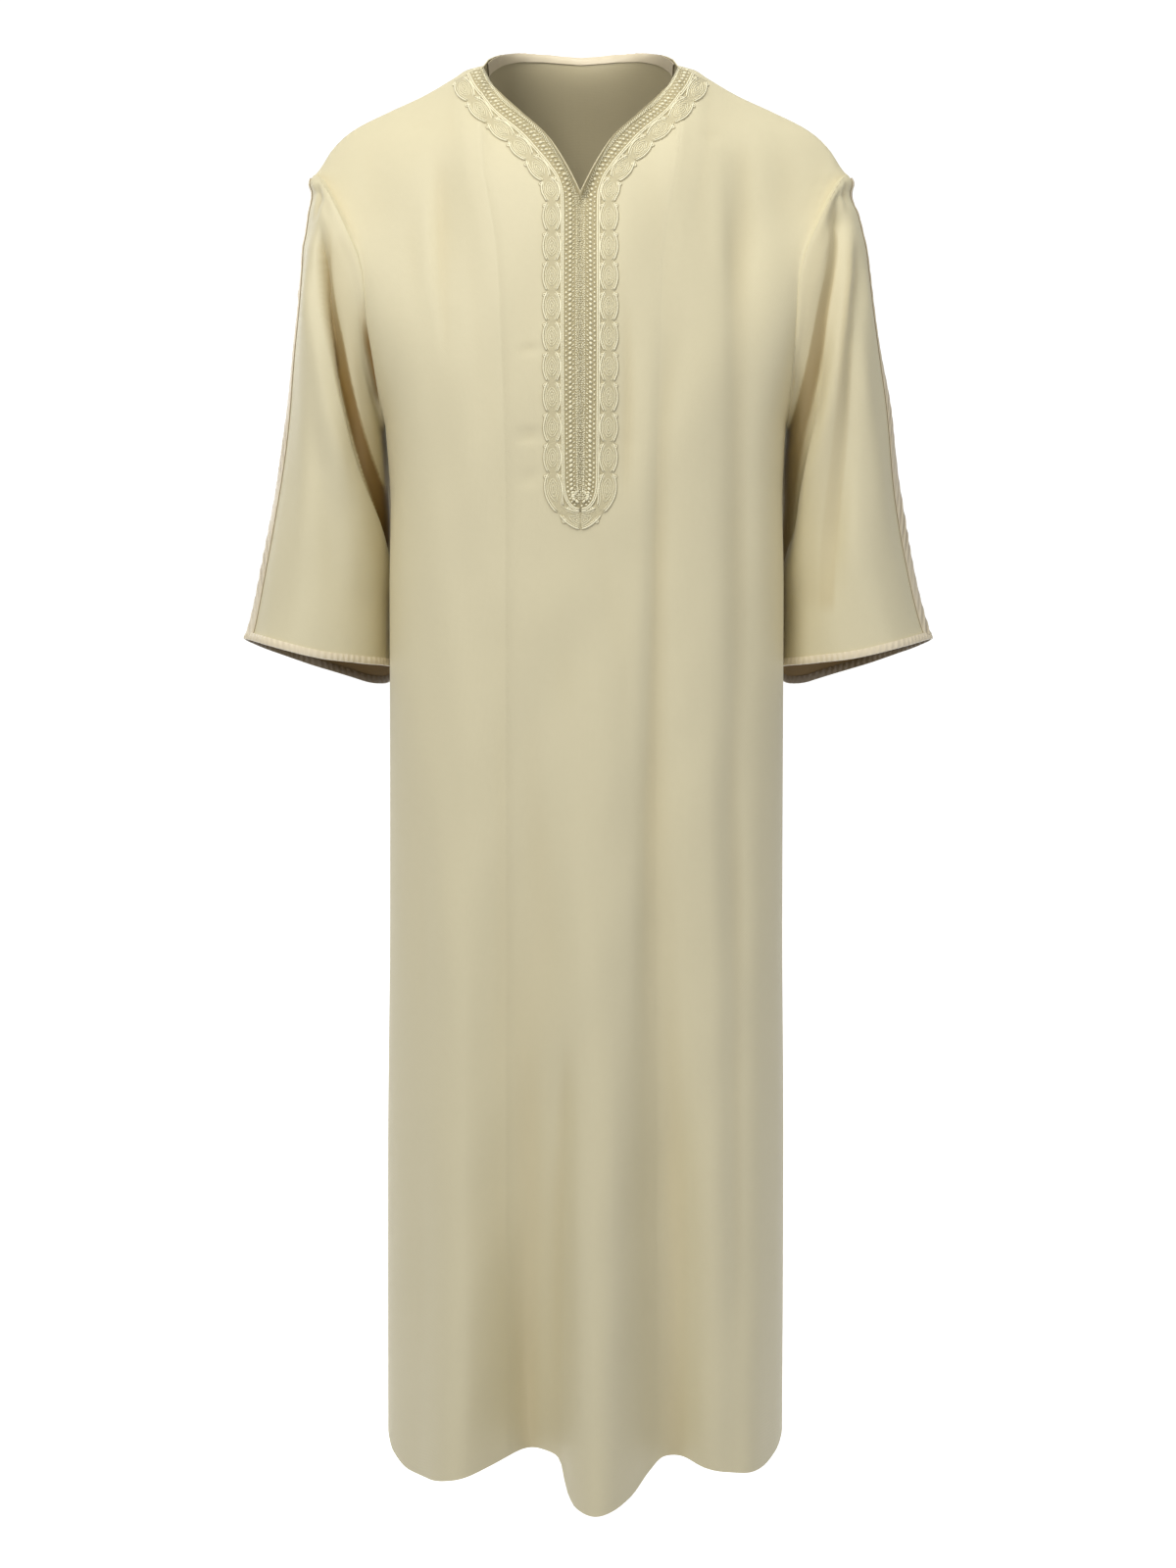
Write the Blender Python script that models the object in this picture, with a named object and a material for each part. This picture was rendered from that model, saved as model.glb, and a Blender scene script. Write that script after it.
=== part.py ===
"""Thobe robe: a long hollow cloth robe, hanging as worn by nobody, in metres with +Z up and its front to -Y.

The origin is midway between the two points where the shoulder seams meet the neckline.
Left and right in the names are the wearer's, who faces -Y, so the left sleeve is at +X.
Every cloth piece is a closed wall of its own, cut apart from its neighbours along the seams.
"""
import bpy
import numpy as np

MM = 0.001  # sizes below are in millimetres

# Cloth and seams
WALL = 1.6  # thickness of the cloth walls
GAP = 0.3  # between pieces along a seam
LIFT = 0.65  # between a panel and a trim that lies on it
TRIM = 1.3  # thickness of braid, tape and binding

# Main points of the pattern
NECK_HALF = 91.0  # centre to the neck end of a shoulder seam
SHOULDER_HALF = 249.0  # centre to the sleeve end of a shoulder seam
SHOULDER_LEVEL = -98.0  # level of that sleeve end
UNDERARM_LEVEL = -330.0
ARMHOLE_REACH = 62.0  # how far the armhole reaches forward and back

# Grid sizes
ARMHOLE_ROWS = 16
SKIRT_ROWS = 12
FRONT_COLUMNS = (6, 14)  # on each side: under the neck, under the shoulder
BACK_COLUMNS = (6, 8)

# level, half width, front depth, back depth, squareness, front fall, back fall
SECTIONS = (
    (29.0, 79.0, 2.0, 77.0, 2.0, 1.00, 0.60),
    (19.0, 85.0, 5.0, 82.0, 2.0, 1.00, 0.70),
    (2.0, 91.5, 15.0, 88.0, 2.0, 1.00, 1.00),
    (-1.0, 105.0, 19.0, 90.0, 2.0, 1.00, 1.20),
    (-9.0, 118.0, 29.0, 93.0, 2.0, 1.00, 1.40),
    (-25.0, 146.0, 46.0, 98.0, 2.0, 1.00, 1.50),
    (-40.0, 179.0, 59.0, 102.0, 2.0, 1.00, 1.50),
    (-56.0, 211.0, 70.0, 105.0, 2.0, 1.00, 1.40),
    (-74.0, 232.5, 80.0, 108.0, 2.0, 1.00, 1.30),
    (-98.0, 249.0, 91.0, 111.0, 2.0, 1.00, 1.20),
    (-104.0, 242.0, 93.0, 112.0, 2.0, 1.00, 1.15),
    (-118.0, 233.0, 97.0, 113.0, 2.0, 0.97, 1.05),
    (-137.0, 223.0, 102.0, 114.0, 2.0, 0.94, 1.00),
    (-160.0, 212.0, 107.0, 115.0, 2.1, 0.90, 0.95),
    (-182.0, 203.0, 110.0, 115.0, 2.2, 0.85, 0.90),
    (-200.0, 199.0, 112.0, 115.0, 2.3, 0.80, 0.85),
    (-237.0, 196.0, 115.0, 114.0, 2.5, 0.66, 0.70),
    (-276.0, 192.0, 117.0, 112.0, 2.7, 0.57, 0.60),
    (-316.0, 189.0, 118.0, 110.0, 2.8, 0.46, 0.50),
    (-345.0, 187.0, 118.0, 108.0, 2.8, 0.43, 0.46),
    (-400.0, 184.5, 117.0, 105.0, 2.5, 0.43, 0.47),
    (-470.0, 185.5, 116.0, 105.0, 2.3, 0.435, 0.48),
    (-600.0, 186.0, 115.0, 108.0, 2.3, 0.435, 0.50),
    (-800.0, 187.0, 115.0, 111.0, 2.35, 0.43, 0.50),
    (-1024.0, 190.0, 115.0, 114.0, 2.5, 0.42, 0.50),
    (-1150.0, 190.5, 115.0, 115.0, 2.65, 0.40, 0.50),
    (-1330.0, 191.0, 115.0, 116.0, 2.8, 0.39, 0.50),
)
WIDTH, FRONT, BACK, SQUARE, FALL_FRONT, FALL_BACK = range(1, 7)

# distance from the middle, level of the front neckline, level of the back neckline
NECKLINE = (
    (0.0, -131.0, 28.0),
    (14.0, -104.0, 28.4),
    (30.0, -78.0, 28.6),
    (54.0, -53.0, 26.6),
    (72.0, -33.0, 21.0),
    (84.0, -16.0, 12.0),
    (91.0, 2.0, 2.0),
)
# distance from the middle, level of the shoulder seam
SHOULDER = tuple((row[1], row[0]) for row in SECTIONS if SHOULDER_LEVEL <= row[0] <= 2.0)
# across, level of the front hem, level of the back hem
HEM = (
    (-190.0, -1300.0, -1300.0),
    (-160.0, -1303.0, -1298.0),
    (-124.0, -1305.0, -1297.0),
    (-45.0, -1290.0, -1304.0),
    (11.0, -1322.0, -1295.0),
    (44.0, -1318.0, -1298.0),
    (88.0, -1292.0, -1305.0),
    (143.0, -1306.0, -1297.0),
    (190.0, -1299.0, -1299.0),
)
# The whole robe hangs a little to one side lower down: level, shift across
SWAY = ((0.0, 0.0), (-200.0, 0.5), (-330.0, 4.5), (-420.0, 5.5), (-1330.0, 4.0))

# start level, end level, across at start, across at end, depth at start, depth at end, width at start, at end
FRONT_FOLDS = (
    (-430.0, -1320.0, 6.0, 14.0, 0.0, 58.0, 58.0, 36.0),
    (-480.0, -1320.0, -38.0, -45.0, 0.0, -37.0, 46.0, 30.0),
    (-360.0, -1320.0, -112.0, -124.0, 0.0, 30.0, 52.0, 33.0),
    (-330.0, -1320.0, 64.0, 88.0, 0.0, -21.0, 34.0, 25.0),
    (-240.0, -1320.0, 112.0, 146.0, 0.0, 27.0, 40.0, 30.0),
    (-60.0, -1290.0, 148.0, 138.0, -5.0, -7.0, 17.0, 17.0),
    (-70.0, -230.0, -131.0, -122.0, -5.0, 0.0, 17.0, 20.0),
)
BACK_FOLDS = (
    (-420.0, -1320.0, -6.0, -14.0, 0.0, 30.0, 56.0, 32.0),
    (-500.0, -1320.0, 42.0, 50.0, 0.0, -24.0, 44.0, 28.0),
    (-380.0, -1320.0, 96.0, 108.0, 0.0, 22.0, 46.0, 30.0),
    (-460.0, -1320.0, -62.0, -74.0, 0.0, -22.0, 44.0, 26.0),
    (-300.0, -1320.0, -116.0, -130.0, 0.0, 20.0, 44.0, 30.0),
)

# part of the way down, outer across, outer level, inner across, inner level, outer y, inner y, forward, back
SLEEVE = (
    (0.00, 249.0, -98.0, 188.0, -330.0, 0.0, 0.0, 62.0, 62.0),
    (0.05, 259.0, -118.0, 190.5, -337.0, 0.0, 12.0, 69.0, 58.0),
    (0.14, 265.5, -155.0, 188.5, -360.0, 0.0, 22.0, 75.0, 55.0),
    (0.31, 274.5, -230.0, 187.5, -400.0, 2.0, 30.0, 78.0, 53.0),
    (0.48, 284.5, -305.0, 186.0, -440.0, 4.0, 34.0, 77.0, 52.0),
    (0.65, 294.5, -380.0, 185.0, -480.0, 6.0, 36.0, 76.0, 51.0),
    (0.82, 307.0, -454.0, 185.0, -523.0, 8.0, 38.0, 76.0, 50.0),
    (0.97, 321.0, -520.0, 185.0, -566.0, 10.0, 38.0, 77.0, 52.0),
    (1.00, 325.0, -530.0, 185.0, -574.0, 10.0, 38.0, 77.0, 52.0),
)
# level, how much further out the sleeve at -X and the sleeve at +X hang
SLEEVE_OUT = ((-98.0, 0.0, 0.0), (-150.0, -9.0, -2.0), (-300.0, -7.0, 0.0), (-430.0, -2.0, 0.0), (-570.0, 0.0, 4.0))
SLEEVE_ROWS = (0.0, 0.02, 0.06, 0.12, 0.2, 0.29, 0.38, 0.48, 0.58, 0.68, 0.78, 0.89, 0.98, 1.0)


def curve(table, column, at):
    """A smooth curve through one column of a table, read at the table's first column, without overshoot."""
    rows = np.array(table, float)
    rows = rows[rows[:, 0].argsort()]
    x, y = rows[:, 0], rows[:, column]
    span = np.diff(x)
    slope = np.diff(y) / span
    product = slope[:-1] * slope[1:]
    total = np.where(product > 0, slope[:-1] + slope[1:], 1.0)
    tangent = np.concatenate([slope[:1], np.where(product > 0, 2 * product / total, 0.0), slope[-1:]])
    at = np.clip(at, x[0], x[-1])
    k = np.clip(np.searchsorted(x, at) - 1, 0, len(span) - 1)
    t = (at - x[k]) / span[k]
    ends = (1 + 2 * t) * (1 - t) ** 2 * y[k] + t * t * (3 - 2 * t) * y[k + 1]
    return ends + span[k] * t * (1 - t) * ((1 - t) * tangent[k] - t * tangent[k + 1])


def ease(t):
    """0 to 1 with level ends."""
    t = np.clip(t, 0.0, 1.0)
    return t * t * (3 - 2 * t)


def fold_depth(folds, x, level):
    """How far the folds of one panel push it outwards."""
    out = np.zeros(np.broadcast(x, level).shape)
    for top, end, x_top, x_end, depth_top, depth_end, wide_top, wide_end in folds:
        t = np.clip((top - level) / (top - end), 0.0, 1.0)
        depth = (depth_top + (depth_end - depth_top) * t ** 1.2) * ease((top - level) / 60.0)
        middle = x_top + (x_end - x_top) * t
        out = out + depth * np.exp(-(((x - middle) / (wide_top + (wide_end - wide_top) * t)) ** 2))
    return out


def armhole_reach(level):
    middle = (SHOULDER_LEVEL + UNDERARM_LEVEL) / 2
    half = (SHOULDER_LEVEL - UNDERARM_LEVEL) / 2
    return ARMHOLE_REACH * np.sqrt(np.clip(1 - ((level - middle) / half) ** 2, 0.0, 1.0))


def body_y(x, level, side):
    """Outer face of the front (side -1) or the back (side +1)."""
    front = side < 0
    depth = curve(SECTIONS, FRONT if front else BACK, level)
    fall = curve(SECTIONS, FALL_FRONT if front else FALL_BACK, level)
    part = np.clip(np.abs(x) / curve(SECTIONS, WIDTH, level), 0.0, 1.0)
    edge = armhole_reach(level)
    soft = ARMHOLE_REACH * ease((level + 352.0) / 125.0) * ease((-84.0 - level) / 100.0)
    body = depth * np.clip(1 - part ** curve(SECTIONS, SQUARE, level), 0.0, 1.0) ** fall
    body = body + soft * part ** 5 + (edge - soft) * part ** 60
    folds = fold_depth(FRONT_FOLDS if front else BACK_FOLDS, x, level) * (1 - part ** 8)
    return side * (body + folds)


def column_width(level):
    return np.where(level > SHOULDER_LEVEL, SHOULDER_HALF, curve(SECTIONS, WIDTH, np.minimum(level, SHOULDER_LEVEL)))


def settle(points):
    """Moves the sides across by the robe's sway at their level. The middle of the front and back stays."""
    points = np.array(points, float)
    points[..., 0] += curve(SWAY, 1, points[..., 2]) * np.clip((points[..., 0] / 180.0) ** 2, 0.0, 1.0)
    return points


def panel_grid(columns, side):
    """Outer face of a body panel, rows from the neck and shoulders down to the hem."""
    neck, shoulder = columns
    neck_part = NECK_HALF / SHOULDER_HALF
    even = np.linspace(0.0, 1.0, neck + 1)
    inner = neck_part * (even + np.sin(even * np.pi / 2)) / 2
    outer = np.sin(np.linspace(np.arcsin(neck_part), np.pi / 2, shoulder + 1)[1:])
    half = np.concatenate([inner, outer])
    part = np.concatenate([-half[:0:-1], half])
    across = np.abs(part) * SHOULDER_HALF
    top = np.where(across <= NECK_HALF, curve(NECKLINE, 1 if side < 0 else 2, across), curve(SHOULDER, 1, across))
    hem = curve(HEM, 1 if side < 0 else 2, part * 190.0)
    even = np.linspace(0.0, 1.0, ARMHOLE_ROWS + 1)[:, None]
    round_steps = (1 - np.cos(np.pi * even)) / 2
    share = np.abs(part) ** 6
    steps = even ** 1.35 * (1 - share) + round_steps * share
    upper = top + (UNDERARM_LEVEL - top) * steps
    fall = np.linspace(0.0, 1.0, SKIRT_ROWS + 1)[1:, None] ** 1.12
    lower = UNDERARM_LEVEL + (hem - UNDERARM_LEVEL) * fall
    level = np.vstack([upper, lower])
    x = part * column_width(level)
    y = body_y(x, level, side)
    y[0, across >= NECK_HALF] = 0.0
    return settle(np.stack([x, y, level], axis=-1)), across


def grid_normals(grid, ring=False):
    """Unit normals of a grid of points by its rows and columns."""
    if ring:
        along = np.roll(grid, -1, axis=1) - np.roll(grid, 1, axis=1)
    else:
        along = np.gradient(grid, axis=1)
    down = np.gradient(grid, axis=0)
    normal = np.cross(along, down)
    return normal / np.maximum(np.linalg.norm(normal, axis=-1, keepdims=True), 1e-9)


def unit(vectors):
    return vectors / np.maximum(np.linalg.norm(vectors, axis=-1, keepdims=True), 1e-9)


def inward(normal, mitre):
    """Step from the outer to the inner face along a mitre, so that the wall keeps its thickness."""
    lean = np.clip((normal * mitre).sum(axis=-1, keepdims=True), 0.62, 1.0)
    return -mitre * WALL / lean


def squares(rows, columns, ring_rows=False, ring_columns=False):
    """The cells of a grid of points, each as its four corners in turn."""
    for i in range(rows if ring_rows else rows - 1):
        for j in range(columns if ring_columns else columns - 1):
            below, right = (i + 1) % rows, (j + 1) % columns
            yield i * columns + j, i * columns + right, below * columns + right, below * columns + j


def add_mesh(name, points, faces, colour, roughness):
    """A mesh object facing outwards, with its own material."""
    points = points.reshape(-1, 3) * MM
    corners = points[np.array(faces)]
    if np.einsum("ij,ij->i", corners[:, 0], np.cross(corners[:, 1], corners[:, 2])).sum() < 0:
        faces = [face[::-1] for face in faces]
    mesh = bpy.data.meshes.new(name)
    mesh.from_pydata([tuple(point) for point in points], [], faces)
    mesh.update()
    solid = bpy.data.objects.new(name, mesh)
    bpy.context.scene.collection.objects.link(solid)
    material = bpy.data.materials.new(name)
    material.use_nodes = True
    shader = material.node_tree.nodes["Principled BSDF"]
    shader.inputs["Base Color"].default_value = (*colour, 1.0)
    shader.inputs["Roughness"].default_value = roughness
    mesh.materials.append(material)


def add_wall(name, outer, inner, ring, colour, roughness):
    """One closed wall between two grids of points. A ring's columns run all the way round."""
    rows, columns = outer.shape[:2]
    count = rows * columns
    faces = []
    flat = outer.reshape(-1, 3)
    for a, b, c, d in squares(rows, columns, ring_columns=ring):
        if np.linalg.norm(flat[a] - flat[c]) > np.linalg.norm(flat[b] - flat[d]):  # cut the short way
            a, b, c, d = b, c, d, a
        faces += [(a, b, c), (a, c, d)]
        faces += [(c + count, b + count, a + count), (d + count, c + count, a + count)]
    rim = [(j, (j + 1) % columns) for j in range(columns if ring else columns - 1)]
    edges = rim + [(count - columns + b, count - columns + a) for a, b in rim]
    if not ring:
        edges += [(i * columns + columns, i * columns) for i in range(rows - 1)]
        edges += [(i * columns + columns - 1, (i + 2) * columns - 1) for i in range(rows - 1)]
    for a, b in edges:
        faces += [(b, a, a + count), (b, a + count, b + count)]
    add_mesh(name, np.stack([outer, inner]), faces, colour, roughness)


def add_loop(name, profile, colour, roughness):
    """A closed profile carried all the way round: rows go round the profile, columns round the loop."""
    faces = []
    for a, b, c, d in squares(*profile.shape[:2], ring_rows=True, ring_columns=True):
        faces += [(a, b, c), (a, c, d)]
    add_mesh(name, profile, faces, colour, roughness)


CLOTH = (0.66, 0.60, 0.42)
SATIN = (0.74, 0.62, 0.50)
THREAD = (0.80, 0.73, 0.52)


# %% Sleeves

def sleeve_base(turn, part, side, edge):
    """Sleeve points at a turn round it (0 outer, a quarter turn in front) and a part of the way down it.

    edge holds the points of the armhole at the same turns, where the sleeve starts.
    """
    def station(column):
        return curve(SLEEVE, column, part)

    def ring(read):
        fore = np.sin(turn)
        lean = (1 - np.cos(turn)) / 2
        x = read(1) + (read(3) - read(1)) * lean
        z = read(2) + (read(4) - read(2)) * lean
        reach = np.where(fore > 0, read(7), read(8))
        y = read(5) + (read(6) - read(5)) * lean - reach * fore
        return np.stack([x, y, z], axis=-1)

    start = ring(lambda column: SLEEVE[0][column] + 0 * part)
    points = ring(station)
    fade = np.clip(1 - part / 0.42, 0.0, 1.0)[..., None] ** 2.5
    points = points + (edge - start) * fade
    out = curve(SLEEVE_OUT, 1 if side < 0 else 2, points[..., 2])
    points[..., 0] += out * ease(part / 0.2) * (1 + np.cos(turn)) / 2
    points[..., 0] *= side
    return settle(points)


# turn at start, turn at end (degrees), part at start, part at end, depth, width in degrees
SLEEVE_FOLDS = {
    -1: (
        (42.0, 148.0, 0.10, 0.72, -9.0, 19.0),
        (232.0, 262.0, 0.15, 0.90, -7.0, 20.0),
    ),
    1: (
        (40.0, 148.0, 0.02, 0.70, -8.0, 19.0),
        (24.0, 84.0, 0.05, 0.85, -5.0, 17.0),
        (230.0, 266.0, 0.20, 0.95, -7.0, 20.0),
    ),
}


def sleeve_folds(side, turn, part):
    degrees = np.degrees(turn) % 360
    out = np.zeros(np.broadcast(turn, part).shape)
    for turn_0, turn_1, part_0, part_1, depth, wide in SLEEVE_FOLDS[side]:
        t = (part - part_0) / (part_1 - part_0)
        grow = ease(t * 4) * ease((1.08 - t) * 5)
        middle = turn_0 + (turn_1 - turn_0) * np.clip(t, 0, 1)
        away = (degrees - middle + 180) % 360 - 180
        out = out + depth * grow * np.exp(-((away / wide) ** 2))
    return out * ease(part / 0.06)


def armhole_edge(front, back, side):
    """Points round an armhole, from the shoulder down the front and up the back, before the sway."""
    column = -1 if side > 0 else 0
    fore = front[: ARMHOLE_ROWS + 1, column]
    aft = back[ARMHOLE_ROWS - 1 : 0 : -1, column]
    loop = np.concatenate([fore, aft])
    loop[0, 1] = 0.0
    loop[:, 0] = (loop[:, 0] - curve(SWAY, 1, loop[:, 2])) * side
    return loop


def sleeve_grid(side, front, back):
    count = 2 * ARMHOLE_ROWS
    turn = np.arange(count) * 2 * np.pi / count
    part = np.array(SLEEVE_ROWS)
    turns, parts = np.meshgrid(turn, part)
    edge = armhole_edge(front, back, side)[None]
    base = sleeve_base(turns, parts, side, edge)
    normal = grid_normals(base, ring=True) * side
    return base + normal * sleeve_folds(side, turns, parts)[..., None]


# %% Body panels, sleeves and their seams

for old in list(bpy.data.objects):
    bpy.data.objects.remove(old)

front, front_across = panel_grid(FRONT_COLUMNS, -1)
back, back_across = panel_grid(BACK_COLUMNS, 1)
front_normal = -grid_normals(front)
back_normal = grid_normals(back)
sleeves = {side: sleeve_grid(side, front, back) for side in (-1, 1)}
sleeve_normals = {side: grid_normals(sleeves[side], ring=True) * side for side in (-1, 1)}


def seam_mitres(grid, normal, across):
    """Mitre directions of a panel: upright planes at the shoulder and side seams, its own normal elsewhere."""
    mitre = normal.copy()
    flat = normal * (1.0, 0.0, 1.0)
    shoulder = across >= NECK_HALF
    mitre[0, shoulder] = unit(flat[0, shoulder])
    mitre[ARMHOLE_ROWS:, 0] = unit(flat[ARMHOLE_ROWS:, 0])
    mitre[ARMHOLE_ROWS:, -1] = unit(flat[ARMHOLE_ROWS:, -1])
    return mitre


front_mitre = seam_mitres(front, front_normal, front_across)
back_mitre = seam_mitres(back, back_normal, back_across)
sleeve_mitres = {}
apart = {}
for side in (-1, 1):
    column = -1 if side > 0 else 0
    rows = np.arange(ARMHOLE_ROWS + 1)
    ring = sleeve_normals[side][0]
    fore = front_normal[: ARMHOLE_ROWS + 1, column]
    aft = back_normal[: ARMHOLE_ROWS + 1, column]
    panel = np.concatenate([fore, aft[ARMHOLE_ROWS - 1 : 0 : -1]])
    panel[0] = unit(fore[0] + aft[0])
    turn = np.arange(len(ring)) * 2 * np.pi / len(ring)
    down = np.array([0.0, 0.0, -1.0]) * (((1 - np.cos(turn)) / 2) ** 6 * 2.0)[:, None]
    mitre = unit(panel + ring + down)
    for _ in range(2):
        mitre = unit(np.roll(mitre, 1, axis=0) + 2 * mitre + np.roll(mitre, -1, axis=0))
    mitre[0, 1] = 0.0
    mitre[ARMHOLE_ROWS] = (0.0, 0.0, -1.0)
    mitre = unit(mitre)
    loop = sleeves[side][0]
    tangent = unit(np.roll(loop, -1, axis=0) - np.roll(loop, 1, axis=0))
    step = unit(np.cross(tangent, mitre))
    step = step * np.sign((step * (side, 0.0, -0.3)).sum(axis=-1, keepdims=True))
    sleeve_mitres[side] = sleeve_normals[side].copy()
    sleeve_mitres[side][0] = mitre
    sleeves[side][0] = loop + step * GAP / 2
    front_mitre[: ARMHOLE_ROWS + 1, column] = mitre[: ARMHOLE_ROWS + 1]
    front[: ARMHOLE_ROWS + 1, column] -= step[: ARMHOLE_ROWS + 1] * GAP / 2
    order = (-rows) % len(ring)
    back_mitre[: ARMHOLE_ROWS + 1, column] = mitre[order]
    back[: ARMHOLE_ROWS + 1, column] -= step[order] * GAP / 2


def seam_planes(grid, across, side):
    """Holds the shoulder and side seams half a gap clear of the plane between front and back."""
    grid[0, across >= NECK_HALF, 1] = side * GAP / 2
    grid[ARMHOLE_ROWS:, 0, 1] = side * GAP / 2
    grid[ARMHOLE_ROWS:, -1, 1] = side * GAP / 2


seam_planes(front, front_across, -1)
seam_planes(back, back_across, 1)
add_wall("front_panel", front, front + inward(front_normal, front_mitre), False, CLOTH, 0.5)
add_wall("back_panel", back, back + inward(back_normal, back_mitre), False, CLOTH, 0.5)
for side, name in ((-1, "sleeve_right"), (1, "sleeve_left")):
    inner = sleeves[side] + inward(sleeve_normals[side], sleeve_mitres[side])
    add_wall(name, sleeves[side], inner, True, CLOTH, 0.5)


# %% Trims

def body_point(x, level, side, lift):
    """A point on the front (side -1) or the back (side +1), lifted off its outer face."""
    slope_x = (body_y(x + 1, level, side) - body_y(x - 1, level, side)) / 2
    slope_z = (body_y(x, level + 1, side) - body_y(x, level - 1, side)) / 2
    normal = unit(np.stack([-slope_x, np.ones_like(x), -slope_z], axis=-1)) * side
    base = np.stack([x, body_y(x, level, side), level], axis=-1)
    return settle(base + normal * np.broadcast_to(lift, x.shape)[..., None])


# inner edge of the braid (across, level), its outer edge, outer edge of the scroll border
FRONT_TRIM = (
    (90.5, -1.0, 110.5, -7.5, 127.0, -20.0),
    (86.0, -13.0, 105.0, -22.0, 122.0, -34.0),
    (72.0, -33.0, 90.0, -45.0, 106.0, -57.0),
    (54.0, -53.0, 69.0, -68.0, 84.0, -83.0),
    (30.0, -78.0, 46.0, -92.0, 61.0, -107.0),
    (14.0, -104.0, 30.0, -114.0, 48.0, -128.0),
    (0.2, -131.5, 20.0, -140.0, 40.0, -152.0),
    (0.2, -165.0, 17.5, -166.0, 37.5, -176.0),
    (0.2, -260.0, 17.5, -260.0, 37.5, -262.0),
    (0.2, -350.0, 17.5, -350.0, 37.5, -350.0),
    (0.2, -385.0, 17.5, -385.0, 37.5, -390.0),
    (0.2, -400.0, 14.0, -399.0, 31.0, -408.0),
    (0.2, -409.0, 6.5, -409.0, 15.0, -425.0),
    (0.2, -414.0, 0.8, -414.5, 0.6, -437.0),
)
SCALLOP = 29.0  # length of one repeat of the scroll border
SCALLOP_WAIST = 0.52  # width between two medallions, as a part of the widest


def trim_edges(steps):
    """The three edges of the front trims, evenly spaced down the braid, and the distance down it."""
    rows = np.array(FRONT_TRIM)
    along = np.concatenate([[0.0], np.cumsum(np.hypot(*np.diff(rows[:, 2:4], axis=0).T))])
    table = np.column_stack([along, rows])
    at = np.linspace(0.0, along[-1], steps + 1)
    return [np.stack([curve(table, k, at), curve(table, k + 1, at)], axis=-1) for k in (1, 3, 5)], at


def front_strip(name, side, near, far, parts, heights, colour):
    """A flat trim between two edges, with a height above the panel at each part of its width."""
    parts = np.array(parts)[None, :, None]
    path = near[:, None] * (1 - parts) + far[:, None] * parts
    x, level = path[..., 0] * side, path[..., 1]
    top = body_point(x, level, -1, LIFT + np.array(heights)[None])
    add_wall(name, top, body_point(x, level, -1, LIFT), False, colour, 0.6)


(neck_edge, braid_edge, _), _ = trim_edges(40)
for side, name in ((-1, "braid_right"), (1, "braid_left")):
    front_strip(name, side, neck_edge, braid_edge, (0.0, 0.5, 1.0), (TRIM, TRIM + 0.6, TRIM), THREAD)
(_, braid_edge, scroll_edge), along = trim_edges(84)
gap = unit(scroll_edge - braid_edge) * 0.4
waist = SCALLOP_WAIST + (1 - SCALLOP_WAIST) * np.abs(np.sin(np.pi * along / SCALLOP)) ** 0.7
scroll_far = braid_edge + (scroll_edge - braid_edge) * waist[:, None]
for side, name in ((-1, "scroll_right"), (1, "scroll_left")):
    front_strip(name, side, braid_edge + gap, scroll_far, (0.0, 1.0), (TRIM, TRIM - 0.3), THREAD)

# part of the way down, distance of the sleeve tape's front edge ahead of the outer line
TAPE_FRONT = ((0.0, 12.0), (0.5, 14.0), (0.8, 16.0), (1.0, 21.0))
TAPE_WIDTH = 24.0
BINDING = 6.5  # how far the cuff binding reaches up the sleeve, outside and inside
BINDING_WALL = 1.0


def lerp(a, b, t):
    return a + (b - a) * t


def tape_faces(outer, normal):
    """Outer and inner face of the tape down the outer line of a sleeve, ending above the binding."""
    length = np.linalg.norm(outer[-1, 0] - outer[-2, 0])
    stop = 1 - (BINDING + 0.5) / length
    ends = (lerp(grid[-2], grid[-1], stop)[None] for grid in (outer, normal))
    grid, lifts = (np.concatenate([whole[1:-1], end]) for whole, end in zip((outer, normal), ends))
    part = np.array(SLEEVE_ROWS)
    at = np.append(part[1:-1], lerp(part[-2], part[-1], stop))
    pitch = np.linalg.norm(grid[:, 1] - grid[:, 0], axis=-1)
    rows = np.arange(len(grid))
    points, normals = [], []
    for share in np.linspace(0.0, 1.0, 5):
        place = (curve(TAPE_FRONT, 1, at) - TAPE_WIDTH * share) / pitch
        here = np.floor(place).astype(int)
        t = (place - here)[:, None]
        here, there = here % grid.shape[1], (here + 1) % grid.shape[1]
        points.append(lerp(grid[rows, here], grid[rows, there], t))
        normals.append(unit(lerp(lifts[rows, here], lifts[rows, there], t)))
    points, normals = np.stack(points, axis=1), np.stack(normals, axis=1)
    return points + normals * (LIFT + TRIM), points + normals * LIFT


def binding_profile(outer, inner):
    """Profile of the binding folded round the cuff, outside and inside, at each turn."""
    hem, lining = outer[-1], inner[-1]
    up = unit(outer[-2] - hem)
    out = unit(hem - lining)
    near, far = GAP, GAP + BINDING_WALL
    return np.stack([
        hem + out * near + up * BINDING,
        hem + out * far + up * BINDING,
        hem + out * far - up * far,
        lining - out * far - up * far,
        lining - out * far + up * BINDING,
        lining - out * near + up * BINDING,
        lining - out * near - up * near,
        hem + out * near - up * near,
    ])


for side, word in ((-1, "right"), (1, "left")):
    outer, normal = sleeves[side], sleeve_normals[side]
    add_wall("tape_" + word, *tape_faces(outer, normal), False, SATIN, 0.35)
    inner = outer + inward(normal, sleeve_mitres[side])
    add_loop("binding_" + word, binding_profile(outer, inner), SATIN, 0.35)

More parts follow.
